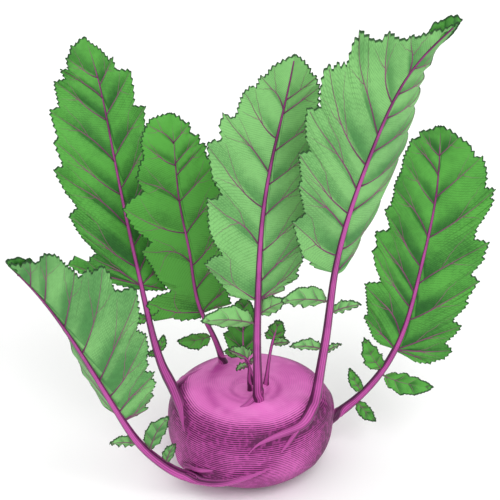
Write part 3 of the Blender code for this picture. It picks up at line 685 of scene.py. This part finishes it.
def leafletParts(leaf, axis, spec, number):
    # a small leaf of its own: its line is root + heading x s L - face x 0.1 L s^2 + a sideways bow of
    # 0.05 L sin(pi s), and its blade, midrib and veins follow the large leaf's rules
    share, side, length, width, forward, turn = spec[:6]
    root, along, right, up = (a[0] for a in readAxis(axis, np.array([share * axis["neck"]])))
    outward = math.cos(math.radians(turn)) * side * right + math.sin(math.radians(turn)) * up
    heading = math.cos(math.radians(forward)) * along + math.sin(math.radians(forward)) * outward
    face = unitRows(up - (up @ heading) * heading) * (-1 if "turned" in spec else 1)
    s = np.linspace(0, 1, 60)[:, None]
    bow = 0.05 * length * np.sin(np.pi * s) * side
    points = root + heading * s * length - face * 0.1 * length * s ** 2 + np.cross(heading, face) * bow
    along = unitRows(np.gradient(points, axis=0))
    faces = unitRows(face - (along @ face)[:, None] * along)
    small = {"points": points, "along": along, "right": np.cross(along, faces), "up": faces,
             "length": length, "neck": 0.1, "blade": 0.9 * length}
    half = dict(leafletHalf, widths=[w * width / 2 for w in leafletHalf["widths"]])
    form = dict(leafletForm, left=half, right=half, phase=1.7 * number, paler=leaf["paler"] + 0.16)
    margins = [marginOf(form, half, small)] * 2
    shell, rib = bladeShell(form, small, margins, 96, 6), stalkTube(form, small, 40, 8)
    return shell, bladeVeins(form, small, margins), rib


# the second shell behind a folded tip: its mesh, its small teeth, and the reach of the strip that closes it
flapRule = {"rows": 160, "columns": 10, "toothHeight": 0.3,
            "stripWidths": (6,) * 8, "stripReach": (0.2, 0.3, 0.2)}


def flapShell(leaf, axis):
    # the far half of the tip: the near half's sheet with a margin of its own, set behind it; past the midrib
    # it is only a strip; the two faces change looks
    flap = leaf["flap"]
    near = dict(leaf[flap["half"]], edge=flap["edge"], veins=flap["veins"], lean=(1, 1),
                behind=flap["behind"], toothHeight=flapRule["toothHeight"])
    strip = {"widths": flapRule["stripWidths"], "fold": 0, "curl": 0, "behind": flap["behind"], "veins": (1,),
             "edge": list(zip(flap["strip"], flapRule["stripReach"])), "toothHeight": 0}
    folded = dict(leaf, **{"left": strip, "right": strip, flap["half"]: near})
    margins = [marginOf(folded, folded[k], axis) for k in ("left", "right")]
    shell = bladeShell(folded, axis, margins, flapRule["rows"], flapRule["columns"])
    shell["maps"]["bladeRim"][:, 1] = 1 - shell["maps"]["bladeRim"][:, 1]
    return shell


def growLeaf(name, node, leaf):
    # every piece of one leaf: stalk with midrib, blade, veins, leaflets
    axis = leafAxis(leaf)
    margins = [marginOf(leaf, leaf[k], axis) for k in ("left", "right")]
    blades, veins = [], bladeVeins(leaf, axis, margins)
    for number, spec in enumerate(leaf["leaflets"], 1):
        shell, lines, rib = leafletParts(leaf, axis, spec, number)
        blades.append(shell)
        veins += lines + [rib]
    toes = [toeTube(axis, toe) for toe in leaf["toes"]]
    makePiece(name + "Stalk", [stalkTube(leaf, axis)] + toes, stalkPurple, [node + "_stalk"])
    shells = [bladeShell(leaf, axis, margins, leaf["rows"], leaf["columns"])]
    if "flap" in leaf:
        shells.append(flapShell(leaf, axis))
    makePiece(name + "Blade", shells, leafGreen, [node + "_blade"])
    makePiece(name + "Veins", veins, veinMauve)
    if blades:
        makePiece(name + "Leaflets", blades, leafGreen)
    print(name, "leaf made, margin runs", [round(m["run"]) for m in margins])


def leafLook():
    look = Look("leafGreen")
    paler, out, panel = look.map("bladeMap")
    rim, side = look.map("bladeRim")[:2]
    cloud, wander = look.noise(40.0, 3.0), look.noise(90.0, 2.0)
    grain, fine = look.noise(420.0, 2.0), look.noise(1400.0, 3.0)
    part = look.sum("FRACT", panel)
    # painted shade: each panel between two side veins is dark above the lower vein, most of all near the
    # midrib
    axilShade = look.times(look.span(part, 0.0, 0.6, 1.0, 0.0), look.span(out, 0.15, 1.0, 1.0, 0.3))
    # painted shade: a thin dark band just below the next vein, fainter out towards the margin
    under = look.times(look.span(part, 0.88, 1.0, 0.0, 0.5), look.span(out, 0.2, 0.9, 1.0, 0.4))
    tone = look.sum("ADD", look.sum("MULTIPLY_ADD", axilShade, 0.55, 0.12), look.times(under, 0.6))
    # painted light: the whole leaf made paler by its paler value (darker below 0), for how light falls on it;
    # the cloud adds tone that differs at random
    tone = look.sum("SUBTRACT", look.sum("ADD", tone, look.span(cloud, 0.25, 0.75, -0.2, 0.26)), paler)
    light = look.mix(side, colour(128, 192, 112), colour(86, 168, 64))
    deep = look.mix(side, colour(74, 138, 72), colour(34, 104, 32))
    # painted shade: from the light green to the deep green by the tone
    base = look.mix(look.span(tone, 0.0, 0.9), light, deep)
    # strokes that run out with the side veins, and finer ones that slant across them; both are broader where
    # the tone paints shade
    strokes = look.ink(panel, 1 / 25, look.times(wander, 3.0), tone)
    strokes = look.times(strokes, look.span(side, 0.0, 1.0, 0.36, 0.48))
    slant = look.sum("MULTIPLY_ADD", out, 9.0, look.times(panel, 9.0))
    finer = look.ink(slant, 0.5, look.times(wander, 6.0), look.sum("MULTIPLY_ADD", tone, 0.55, 0.2))
    inked = look.sum("MAXIMUM", strokes, look.times(finer, 0.32))
    inked = look.times(inked, look.span(grain, 0.3, 0.6, 0.4, 1.0))
    base = look.mix(inked, base, look.mix(side, colour(40, 92, 42), colour(14, 62, 16)))
    base = look.mix(look.span(rim, 0.4, 0.85, 0.92, 0.0), base, colour(20, 58, 24))
    lines = look.bump(look.sum("SUBTRACT", 1.0, inked), 0.25, 0.0002)
    return look.finish(base, look.span(fine, 0.2, 0.8, 0.5, 0.66), look.bump(fine, 0.15, 0.0002, lines), 0.3)


def stalkLook():
    look = Look("stalkPurple")
    along, around, tip = look.map("stalkMap")
    cloud = look.noise(60.0, 3.0)
    fine = look.noise(1100.0, 2.0)
    # pale along the upper and lower sides as painted highlight, dark down both flanks as painted shade, with
    # long strokes that break up at random
    flankShade = look.sum("ABSOLUTE", look.sum("COSINE", look.times(around, 2 * math.pi)))
    tone = look.sum("ADD", look.span(flankShade, 0.35, 1.0, 0.06, 1.0), look.span(cloud, 0.3, 0.7, -0.12, 0.2))
    tone = look.sum("ADD", tone, look.span(tip, 0.2, 0.9, 0.0, 0.5))
    # along a ridge the tone comes to the bulb's own
    sunk = look.span(tip, -0.9, -0.1, 1.0, 0.0)
    tone = look.sum("MULTIPLY_ADD", sunk, look.sum("SUBTRACT", 0.26, tone), tone)
    # painted shade: pale purple where lit, dark purple down the flanks, by the tone
    base = look.mix(look.span(tone, 0.0, 1.0), colour(190, 80, 162), colour(92, 28, 78))
    strokes = look.ink(around, 1 / 14, look.times(cloud, 6.0), look.sum("MULTIPLY_ADD", tone, 0.75, 0.1))
    base = look.mix(look.times(strokes, look.span(sunk, 0.0, 1.0, 0.6, 0.25)), base, colour(52, 12, 44))
    normal = look.bump(look.sum("ADD", fine, strokes), 0.15, 0.0003)
    return look.finish(base, look.span(fine, 0.2, 0.8, 0.36, 0.5), normal, 0.25)


def veinLook():
    look = Look("veinMauve")
    out = look.map("stalkMap")[0]
    cloud = look.noise(90.0, 2.0)
    base = look.mix(look.span(out, 0.0, 0.5), colour(92, 36, 76), colour(136, 66, 112))
    base = look.mix(look.span(cloud, 0.3, 0.7, 0.0, 0.4), base, colour(92, 38, 74))
    base = look.mix(look.span(out, 0.45, 1.0, 0.0, 0.65), base, colour(88, 96, 72))
    return look.finish(base, look.span(cloud, 0.2, 0.8, 0.42, 0.55), look.bump(cloud, 0.1, 0.0002), 0.5)


leafGreen, stalkPurple, veinMauve = leafLook(), stalkLook(), veinLook()

# what grown leaves have in common; a leaf's own dictionary comes after it. route: centre line in mm; neck:
# the route point where the blade begins; radii: at the skin, the neck and the tip; flare: mm wider at the
# skin, over how many mm; opens: where the right half points at the neck and the tip; widths: of a half at
# widthStations; edge: margin corners, mm along the midrib from the neck and out from it; veins: corners
# that side veins run to; leaflets: share of the stalk, side, length, width, angle from the stalk, turn up
# paler: painted light, how much paler (below 0, darker) a whole leaf is coloured for how light falls on it
grown = {"lean": (1, 1), "toothPitch": 3.0, "toothHeight": 1.1, "quilt": 0.9, "frill": 0.8, "thick": 0.7,
         "veinWidth": 1.0, "ribEnd": 0.97, "rooted": 9, "groove": 0.12, "rows": 500, "columns": 16,
         "toes": [], "paler": 0.0, "branches": [(0.38, 0.42), (0.5, -0.4)]}


def ridge(thin, thick, join, *path):
    # radii at its far end and at the stalk, mm beyond the skin where it joins, (azimuth, latitude) points
    return {"path": path, "thin": thin, "thick": thick, "join": join}


leafLeft = dict(grown, **{
    "route": [(-34, -6, 40), (-42, -6, 52.5), (-49.5, 0, 70), (-54.5, 8, 89), (-57.5, 13, 102),
              (-65.5, 28, 136), (-73.5, 44, 175.5), (-81, 57, 208), (-86, 62, 223)],
    "neck": 4, "radii": (2.4, 1.3, 0.35), "flare": (2.2, 11),
    "mainRidge": ridge(1.2, 2.6, (10, 20), (-138, 14), (-144, 23), (-151, 32), (-160, 37)),
    "toes": [ridge(0.8, 2.2, (9, 16), (146, 58), (156, 54), (166, 50))],
    "opens": ((1, 0.2, 0.1), (1, 0.2, 0.2)), "upper": True,
    "left": {"widths": (10, 27, 31, 33, 32, 32, 29, 24), "fold": 8, "curl": 10,
             "lean": (1.15, 1.15), "edge": [
        (-2, 2), (4.5, 15), (14, 31), (20, 36.5), (23, 32), (18, 26), (21, 23), (22, 20), (32.5, 26),
        (44, 30), (47.5, 25), (57, 29.5), (69, 33), (70, 28), (83, 30), (83.5, 28), (99.5, 29), (100.5, 24),
        (115, 23), (115, 17), (121, 18), (119.5, 14), (126, 13), (127, 11), (131, 9), (131, 6), (133, 3),
        (133.5, 0)],
        "veins": (3, 6, 9, 12, 14, 16, 18, 20, 22)},
    "right": {"widths": (15, 22, 27, 29, 26, 24, 21, 20), "fold": -30, "curl": 8, "edge": [
        (-3, 0), (-4.5, 6.5), (-6.5, 14.5), (1.5, 12), (9, 16), (15.5, 13), (22, 16), (30, 14.5),
        (39, 18.5), (47.5, 15.5), (57, 21), (64, 18), (74.5, 23), (80, 21), (92.5, 24), (93.5, 17),
        (101.5, 19.5), (111, 20), (113, 12), (119.5, 12), (118.5, 9), (125.5, 6), (130, 2), (133.5, 0)],
        "veins": (2, 4, 6, 8, 10, 12, 14, 17, 19)},
    "wave": 1.6, "phase": 0.3,
    "leaflets": [(0.47, 1, 11, 5.5, 40, -25), (0.49, -1, 7, 4.5, 100, -35),
                 (0.74, -1, 10, 6.5, 75, -30), (0.76, 1, 11, 6.5, 50, -35)],
})
growLeaf("left", "leaf_left", leafLeft)

leafBackLeft = dict(grown, **{
    "route": [(-13, 17, 44), (-16, 17.5, 56), (-20, 18, 68), (-26, 18.5, 82), (-31.5, 16.5, 118),
              (-36, 14, 149), (-38.5, 16, 185.5), (-39.5, 19, 197.5)],
    "neck": 3, "radii": (1.7, 1.25, 0.35), "flare": (1.3, 4),
    "opens": ((1, 0, 0.2), (1, 0, 0.1)), "upper": True,
    "left": {"widths": (14, 22, 26, 27, 25, 22, 23, 24), "fold": 13, "curl": 8, "lean": (0.5, 0.9), "edge": [
        (-0.5, 0), (-2.5, 2), (1, 12), (4, 16), (8, 18), (6.5, 22), (7.5, 26.5), (16, 27), (18, 22),
        (18, 13), (26.5, 19), (48.5, 25), (52, 18.5), (62.5, 26), (73, 30), (76.5, 25), (78.5, 18),
        (86.5, 21), (93.5, 18.5), (96.5, 16), (104.5, 17), (107.5, 16), (113, 13), (115.5, 11),
        (116.5, 5.5), (117.5, 0.5)],
        "veins": (7, 11, 14, 17, 20, 22)},
    "right": {"widths": (15, 20, 23, 24, 22, 23, 22, 20), "fold": -6, "curl": -6, "edge": [
        (-0.5, 2), (1, 7.5), (-1, 17), (9, 17), (14.5, 22), (24.5, 18.5), (34.5, 21), (41.5, 18),
        (51.5, 22), (61, 19.5), (72, 22.5), (78.5, 19), (89.5, 20), (94, 16), (100.5, 16), (100.5, 13),
        (104.5, 13.5), (106, 9), (111, 9), (112.5, 6), (115, 4), (117.5, 0)],
        "veins": (2, 4, 6, 8, 10, 12, 14, 16, 18)},
    "wave": 1.2, "phase": 1.1, "paler": 0.24,
    "leaflets": [(0.62, -1, 20, 11, 76, 10)],
})
growLeaf("backLeft", "leaf_back_left", leafBackLeft)

leafCentre = dict(grown, **{
    "route": [(4.2, -17, 42), (4.2, -18.5, 54), (3.6, -22, 90), (4, -24, 114), (6.3, -26, 163.5),
              (11, -25, 195), (18.6, -20, 230), (21, -16, 242)],
    "neck": 3, "radii": (2.4, 1.8, 0.35), "flare": (1.0, 6),
    "toes": [ridge(0.9, 2.5, (3, 10), (-106, 66), (-101, 69), (-94, 72), (-88, 75))],
    "opens": ((1, 0, 0), (1, 0.1, -0.2)), "upper": False,
    "left": {"widths": (12, 25.5, 28, 30, 30.5, 26, 21, 17), "fold": 4, "curl": 6,
             "lean": (0.6, 1.0), "edge": [
        (0.5, 2), (0, 7.5), (0.5, 14), (12.5, 23.5), (18.5, 27.5), (24, 23.5), (25.5, 18.5), (32.5, 23),
        (39, 26), (53, 28), (53.5, 24), (57, 21), (64, 26.5), (79.5, 32), (82, 30), (83, 25.5), (90, 28),
        (95.5, 27), (94, 23), (96.5, 21), (101, 21), (107.5, 20), (111.5, 17), (111, 15), (117, 14),
        (117, 12), (122.5, 9.5), (126.5, 4.5), (130, 0)],
        "veins": (4, 9, 13, 17, 21, 24)},
    "right": {"widths": (10, 21.5, 25, 26, 27, 27, 24, 16), "fold": 10, "curl": 8, "edge": [
        (2.5, 1.5), (1.5, 5), (4.5, 14.5), (7.5, 13), (12, 21), (14.5, 20), (21, 23), (27, 22),
        (34.5, 24.5), (42, 22), (52, 24), (59.5, 20.5), (70, 22.5), (76.5, 19), (86, 21.5), (92, 18),
        (102, 20), (107.5, 17), (117, 16), (118.5, 14), (121.5, 13.5), (122.5, 10), (124.5, 9), (127, 6),
        (129, 3), (130, 0)],
        "veins": (2, 6, 8, 10, 12, 14, 16, 18, 20)},
    "wave": 1.2, "phase": 2.0, "paler": 0.08,
    "leaflets": [(0.80, -1, 30, 15, 78, -8), (0.87, 1, 17, 12, 60, 12)],
})
growLeaf("centre", "leaf_centre", leafCentre)

leafRightTall = dict(grown, **{
    "route": [(29, -17, 34), (33, -20.5, 48), (36, -25, 72), (38.5, -29, 98), (41, -33, 132),
              (48, -41, 176), (57, -46, 210), (73, -47, 247), (92, -45, 267)],
    "neck": 4, "radii": (2.8, 1.75, 0.4), "flare": (1.0, 10),
    "mainRidge": ridge(0.9, 2.6, (8, 17), (-91, 13), (-86, 21), (-79, 26), (-70, 29), (-59, 30), (-48, 31)),
    "toes": [ridge(0.8, 1.7, (), (-70, 8), (-66, 13), (-61, 19), (-56, 25), (-50, 30))],
    # the far half of the tip stands up behind the near one and shows its upper face above it
    "flap": {"half": "left", "behind": 1.3, "strip": (128, 140, 150), "edge": [
        (126, 0.5), (133, 4), (135.9, 6), (137.4, 6.5), (140.8, 6.8), (141.1, 5.8), (142.6, 6),
        (144.5, 5.2), (145.6, 4.5), (147.5, 4.8), (147.8, 3.2), (149.7, 2.5), (149.3, 1.2), (150, 0.2)],
        "veins": (3, 7, 10)},
    "opens": ((1, 0.1, 0), (0.8, 0.2, -0.6)), "upper": False,
    "left": {"widths": (6, 19, 27, 33, 37, 32, 9, 8), "fold": 2, "curl": 10, "lean": (0.4, 1.4), "edge": [
        (4, 2), (4.5, 8), (6, 13), (9, 12), (10, 17), (17.5, 20), (28.5, 25), (34, 20.5), (43, 24),
        (51, 28), (52.5, 27), (66, 32), (68, 27), (74, 31), (82.5, 34), (88, 35), (87.5, 32), (89.5, 29.5),
        (95.5, 32.5), (103.5, 35.5), (107, 35), (105.5, 31.5), (108.5, 32), (107.5, 29), (109.5, 29),
        (109, 27), (113, 29), (113.5, 29), (118, 31), (118.5, 29.5), (121, 31), (120.5, 24), (122, 20.5),
        (126, 20), (126, 14.5), (128.5, 11.2), (130.3, 11.2), (131.1, 8.2), (133.7, 7), (137, 4.8),
        (138.9, 5), (140.8, 2.5), (143.7, 2.2), (146, 1.2), (148.5, 0.2)],
        "veins": (6, 9, 11, 15, 20, 30, 33, 36)},
    "right": {"widths": (10, 17, 26, 28, 21, 13, 7, 4), "fold": -5, "curl": 84, "lean": (0.8, 1.1), "edge": [
        (4, 2), (5, 10), (8, 14.5), (10, 12.5), (17, 17.5), (19, 15), (27, 21), (29, 18.5), (39, 25),
        (41, 22.5), (52, 27), (56, 25.5), (66, 27.5), (81, 26.5), (97, 22.5), (110, 16.5), (118, 12),
        (127, 7), (138, 3.5), (148, 0.6)],
        "veins": (4, 8, 12, 13, 14, 15, 16, 17), "smoothPast": 56},
    "wave": 1.2, "phase": 0.0,
    "leaflets": [(0.55, -1, 21, 8.5, 72, -10), (0.52, 1, 11, 5, 55, 10),
                 (0.85, -1, 27, 14, 80, -6), (0.78, 1, 17, 8, 76, 12)],
})
growLeaf("rightTall", "leaf_right_tall", leafRightTall)

leafRight = dict(grown, **{
    "route": [(37, 7, 17), (45, 9, 20.5), (53, 12, 25), (63.5, 15, 34), (72, 18, 44), (79.5, 20, 58),
              (91, 24, 105.5), (98, 32, 150), (99, 42, 181)],
    "neck": 5, "radii": (2.3, 1.8, 0.4), "flare": (1.6, 8),
    "opens": ((1, 0, -0.3), (1, 0, 0)), "upper": True,
    "left": {"widths": (10, 24, 29, 30, 25.5, 24, 29, 30), "fold": 6, "curl": 8,
             "lean": (1.0, 1.2), "edge": [
        (1.5, 1.5), (1, 10), (5, 16.5), (16.5, 25), (19, 23), (28, 26), (38.5, 29.5), (39.5, 28), (40, 20),
        (51.5, 27), (58, 29.5), (59, 27), (67.5, 30), (69.5, 22), (73.5, 23.5), (80.5, 27), (83.5, 24),
        (95, 24), (102, 21.5), (109.5, 20), (120.5, 16), (121.5, 12), (125, 11), (125.5, 6.5), (128, 1)],
        "veins": (3, 6, 10, 12, 15, 17, 19, 20, 22)},
    "right": {"widths": (20, 29, 30.5, 32, 32, 30, 25, 23), "fold": 6, "curl": 8, "edge": [
        (-1, 2), (-1, 9), (-1.5, 14), (0.5, 21), (5, 27), (10, 29.5), (12.5, 24), (18, 27), (24, 29),
        (25.5, 23.5), (37, 29), (38.5, 27.5), (50, 32), (52.5, 27), (62.5, 32), (64, 31), (72, 32),
        (72, 24), (78, 24), (93, 30.5), (93, 28.5), (97.5, 30.5), (97.5, 25), (102, 25.5), (106.5, 25),
        (112.5, 22.5), (112, 19), (118.5, 15.5), (122, 10), (125.5, 5.5), (128, 0)],
        "veins": (3, 5, 8, 12, 16, 21, 25, 28)},
    "wave": 1.4, "phase": 2.7,
    "leaflets": [(0.50, -1, 17, 7.5, 72, 6), (0.42, 1, 17.5, 8.5, 92, 8),
                 (0.77, -1, 25, 11.5, 62, 20), (0.73, 1, 31, 13.5, 70, 10)],
})
growLeaf("right", "leaf_right", leafRight)

leafLowLeft = dict(grown, **{
    "route": [(-10, -29, 12), (-18.5, -34, 11.5), (-35, -36.5, 15.5), (-47.5, -38, 25.5),
              (-55.5, -39.5, 35.5), (-64.5, -43, 54), (-77, -52, 89), (-87.5, -62, 119.5),
              (-99.5, -72, 147.5), (-108.5, -80, 165)],
    "neck": 5, "radii": (3.1, 1.8, 0.25), "flare": (0.5, 12),
    "mainRidge": ridge(1.0, 3.0, (5, 15), (-70, 4), (-79, 0), (-91, -5), (-103, -12), (-116, -19)),
    "toes": [ridge(0.7, 2.4, (8, 18), (-108, -1), (-118, -5), (-129, -9), (-139, -14))],
    # the far half of the tip stands up behind the near one and shows its upper face above it
    "flap": {"half": "right", "behind": 1.2, "strip": (112, 120, 127), "edge": [
        (112, 0.5), (114, 9), (117.1, 9.2), (118.9, 8.8), (119.9, 7.2), (121.8, 6.8), (123.3, 5.5),
        (124.6, 4), (126.8, 1.8), (127, 0.2)],
        "veins": (3, 6)},
    "opens": ((0.85, 0.1, 0.5), (0.8, 0.2, 0.6)), "upper": False,
    "left": {"widths": (22, 26, 23, 17, 11, 8, 5, 3), "rise": 0.0, "fold": 62, "endFold": 92, "curl": 0,
             "toothHeight": 0.1},
    "right": {"widths": (14, 26.5, 29, 36, 34, 29, 30, 20), "fold": 2, "curl": 14,
             "lean": (0.3, 1.5), "edge": [
        (1.5, 2), (-1, 8), (-2, 14), (1.5, 13.5), (4, 20.5), (7.5, 20), (13.5, 25), (16.5, 24), (19, 27),
        (22.5, 22.5), (26, 26), (28.5, 26), (33.5, 30), (40.5, 32), (47.5, 29), (56, 34), (68, 39),
        (71.5, 39), (75, 31.5), (78, 30), (83.5, 32.5), (90, 32), (91.5, 25.5), (95, 26), (93.5, 20),
        (98.5, 20), (104, 19), (111.5, 19), (116, 15.8), (116.8, 13), (115.5, 11), (116.4, 9.2),
        (118.3, 8.2), (120.8, 5.8), (120.2, 4), (121.8, 3.8), (123.3, 2.2), (125.5, 0.2)],
        "veins": (2, 4, 8, 13, 16, 21, 25, 28, 32)},
    "lobes": 7, "tooth": 0.03, "blunt": 5, "wave": 1.4, "phase": 1.6, "paler": -0.2,
    "leaflets": [(0.50, 1, 17, 7, 66, -4), (0.66, 1, 29, 11.5, 60, -6), (0.76, -1, 16, 8, 50, 6)],
})
growLeaf("lowLeft", "leaf_low_left", leafLowLeft)

# young leaves share smaller teeth and thinner ribs
young = dict(grown, **{"toothPitch": 1.6, "toothHeight": 0.5, "quilt": 0.5, "frill": 0.6, "thick": 0.6,
                       "veinWidth": 0.6, "flare": (0.7, 5), "rows": 180, "columns": 8, "rooted": 3,
                       "tooth": 0.24, "blunt": 6, "branches": [(0.4, 0.35)]})


def youngHalf(fold, rise, *widths):
    # a half whose margin comes by rule, from its widths at widthStations
    return {"widths": widths, "rise": rise, "fold": fold, "curl": 6}


youngTall = dict(young, **{
    "route": [(3.5, -3, 46), (1, -1, 55), (-2.5, 2.5, 64), (-3.6, 6.5, 81), (-3, 8.5, 99)],
    "neck": 2, "radii": (0.9, 0.75, 0.25), "opens": ((1, 0, 0), (1, 0, 0)), "upper": True,
    "left": youngHalf(14, 0.05, 8, 10, 10, 10, 9, 8, 6, 4),
    "right": youngHalf(14, 0.05, 7, 9, 9, 9, 8, 7, 5, 4),
    "lobes": 4, "wave": 0.5, "phase": 0.5, "leaflets": [],
})
growLeaf("youngTall", "young_leaf_tall", youngTall)

youngSmall = dict(young, **{
    "route": [(0.5, -7.5, 46), (-0.5, -8.5, 60), (-1.5, -9.5, 70), (-6, -11, 74.5), (-11.5, -12.5, 78)],
    "neck": 2, "radii": (0.9, 0.6, 0.25), "opens": ((0.5, 0.1, 0.9), (0.5, 0.1, 0.9)), "upper": False,
    "left": youngHalf(40, 0.05, 4, 4.6, 4.6, 4.6, 4, 3.5, 3, 2),
    "right": youngHalf(10, 0.05, 4, 5, 5.2, 5, 4.5, 4, 3, 2),
    "lobes": 3, "wave": 0.3, "phase": 1.5,
    "leaflets": [(0.84, -1, 8.5, 5.5, 118, 30), (0.9, 1, 7.5, 5, 122, 30)],
})
growLeaf("youngSmall", "young_leaf_small", youngSmall)

youngRight = dict(young, **{
    "route": [(8, -4, 46), (9, -3.5, 56), (10.3, -2.5, 67), (12.5, -2, 79), (15.5, -1.5, 90)],
    "neck": 3, "radii": (0.9, 0.75, 0.25), "opens": ((1, 0, -0.3), (1, 0, -0.3)), "upper": True,
    "left": youngHalf(16, -0.1, 4.5, 5.5, 5.5, 5, 4.5, 4, 3, 2),
    "right": youngHalf(10, -0.1, 4.5, 5.5, 5.5, 5, 4.5, 4, 3, 2),
    "lobes": 3, "wave": 0.4, "phase": 2.5, "leaflets": [(0.86, 1, 11, 6.5, 58, 20, "turned")],
})
growLeaf("youngRight", "young_leaf_right", youngRight)


# Floor, light and camera

studio = {"floorColour": (0.96, 0.96, 0.96, 1), "floorHalf": 6.0, "floorDrop": 0.0002, "worldLight": 0.78,
          "lens": 100, "distance": 0.709, "elevation": 28, "aimHeight": 0.130,
          # each lamp: the side that it shines from, strength, how wide it looks in degrees
          "lamps": {"keyLamp": ((0.5, -0.9, 1.3), 1.3, 40), "sideLamp": ((-1.0, -0.6, 0.9), 0.5, 60)}}


def makeStage():
    # a wide pale floor just under the foot
    mesh = bpy.data.meshes.new("floor")
    half, drop = studio["floorHalf"], studio["floorDrop"]
    corners = [(x * half, y * half, -drop) for x, y in ((-1, -1), (1, -1), (1, 1), (-1, 1))]
    mesh.from_pydata(corners, [], [(0, 1, 2, 3)])
    floor = bpy.data.objects.new("floor", mesh)
    bpy.context.scene.collection.objects.link(floor)
    look = Look("paleFloor")
    look.shader.inputs["Base Color"].default_value = studio["floorColour"]
    look.shader.inputs["Roughness"].default_value = 0.9
    mesh.materials.append(look.material)


def addSun(name, fromSide, strength, wide):
    # a far soft lamp that shines from the given side towards the plant
    lamp = bpy.data.lights.new(name, "SUN")
    lamp.energy = strength
    lamp.angle = math.radians(wide)
    holder = bpy.data.objects.new(name, lamp)
    holder.location = fromSide
    across = math.hypot(fromSide[0], fromSide[1])
    holder.rotation_euler = (math.atan2(across, fromSide[2]), 0, math.atan2(fromSide[0], -fromSide[1]))
    bpy.context.scene.collection.objects.link(holder)


def makeLightAndCamera():
    scene = bpy.context.scene
    world = bpy.data.worlds.new("studio")
    world.use_nodes = True
    world.node_tree.nodes["Background"].inputs["Color"].default_value = (1, 1, 1, 1)
    world.node_tree.nodes["Background"].inputs["Strength"].default_value = studio["worldLight"]
    scene.world = world
    for name, (fromSide, strength, wide) in studio["lamps"].items():
        addSun(name, fromSide, strength, wide)
    scene.view_settings.view_transform = "Standard"
    camera = bpy.data.objects.new("camera", bpy.data.cameras.new("camera"))
    camera.data.lens = studio["lens"]
    tilt = math.radians(studio["elevation"])
    away = studio["distance"]
    camera.location = (0, -away * math.cos(tilt), studio["aimHeight"] + away * math.sin(tilt))
    camera.rotation_euler = (math.pi / 2 - tilt, 0, 0)
    scene.collection.objects.link(camera)
    scene.camera = camera


makeStage()
makeLightAndCamera()
print("stage, light and camera made")
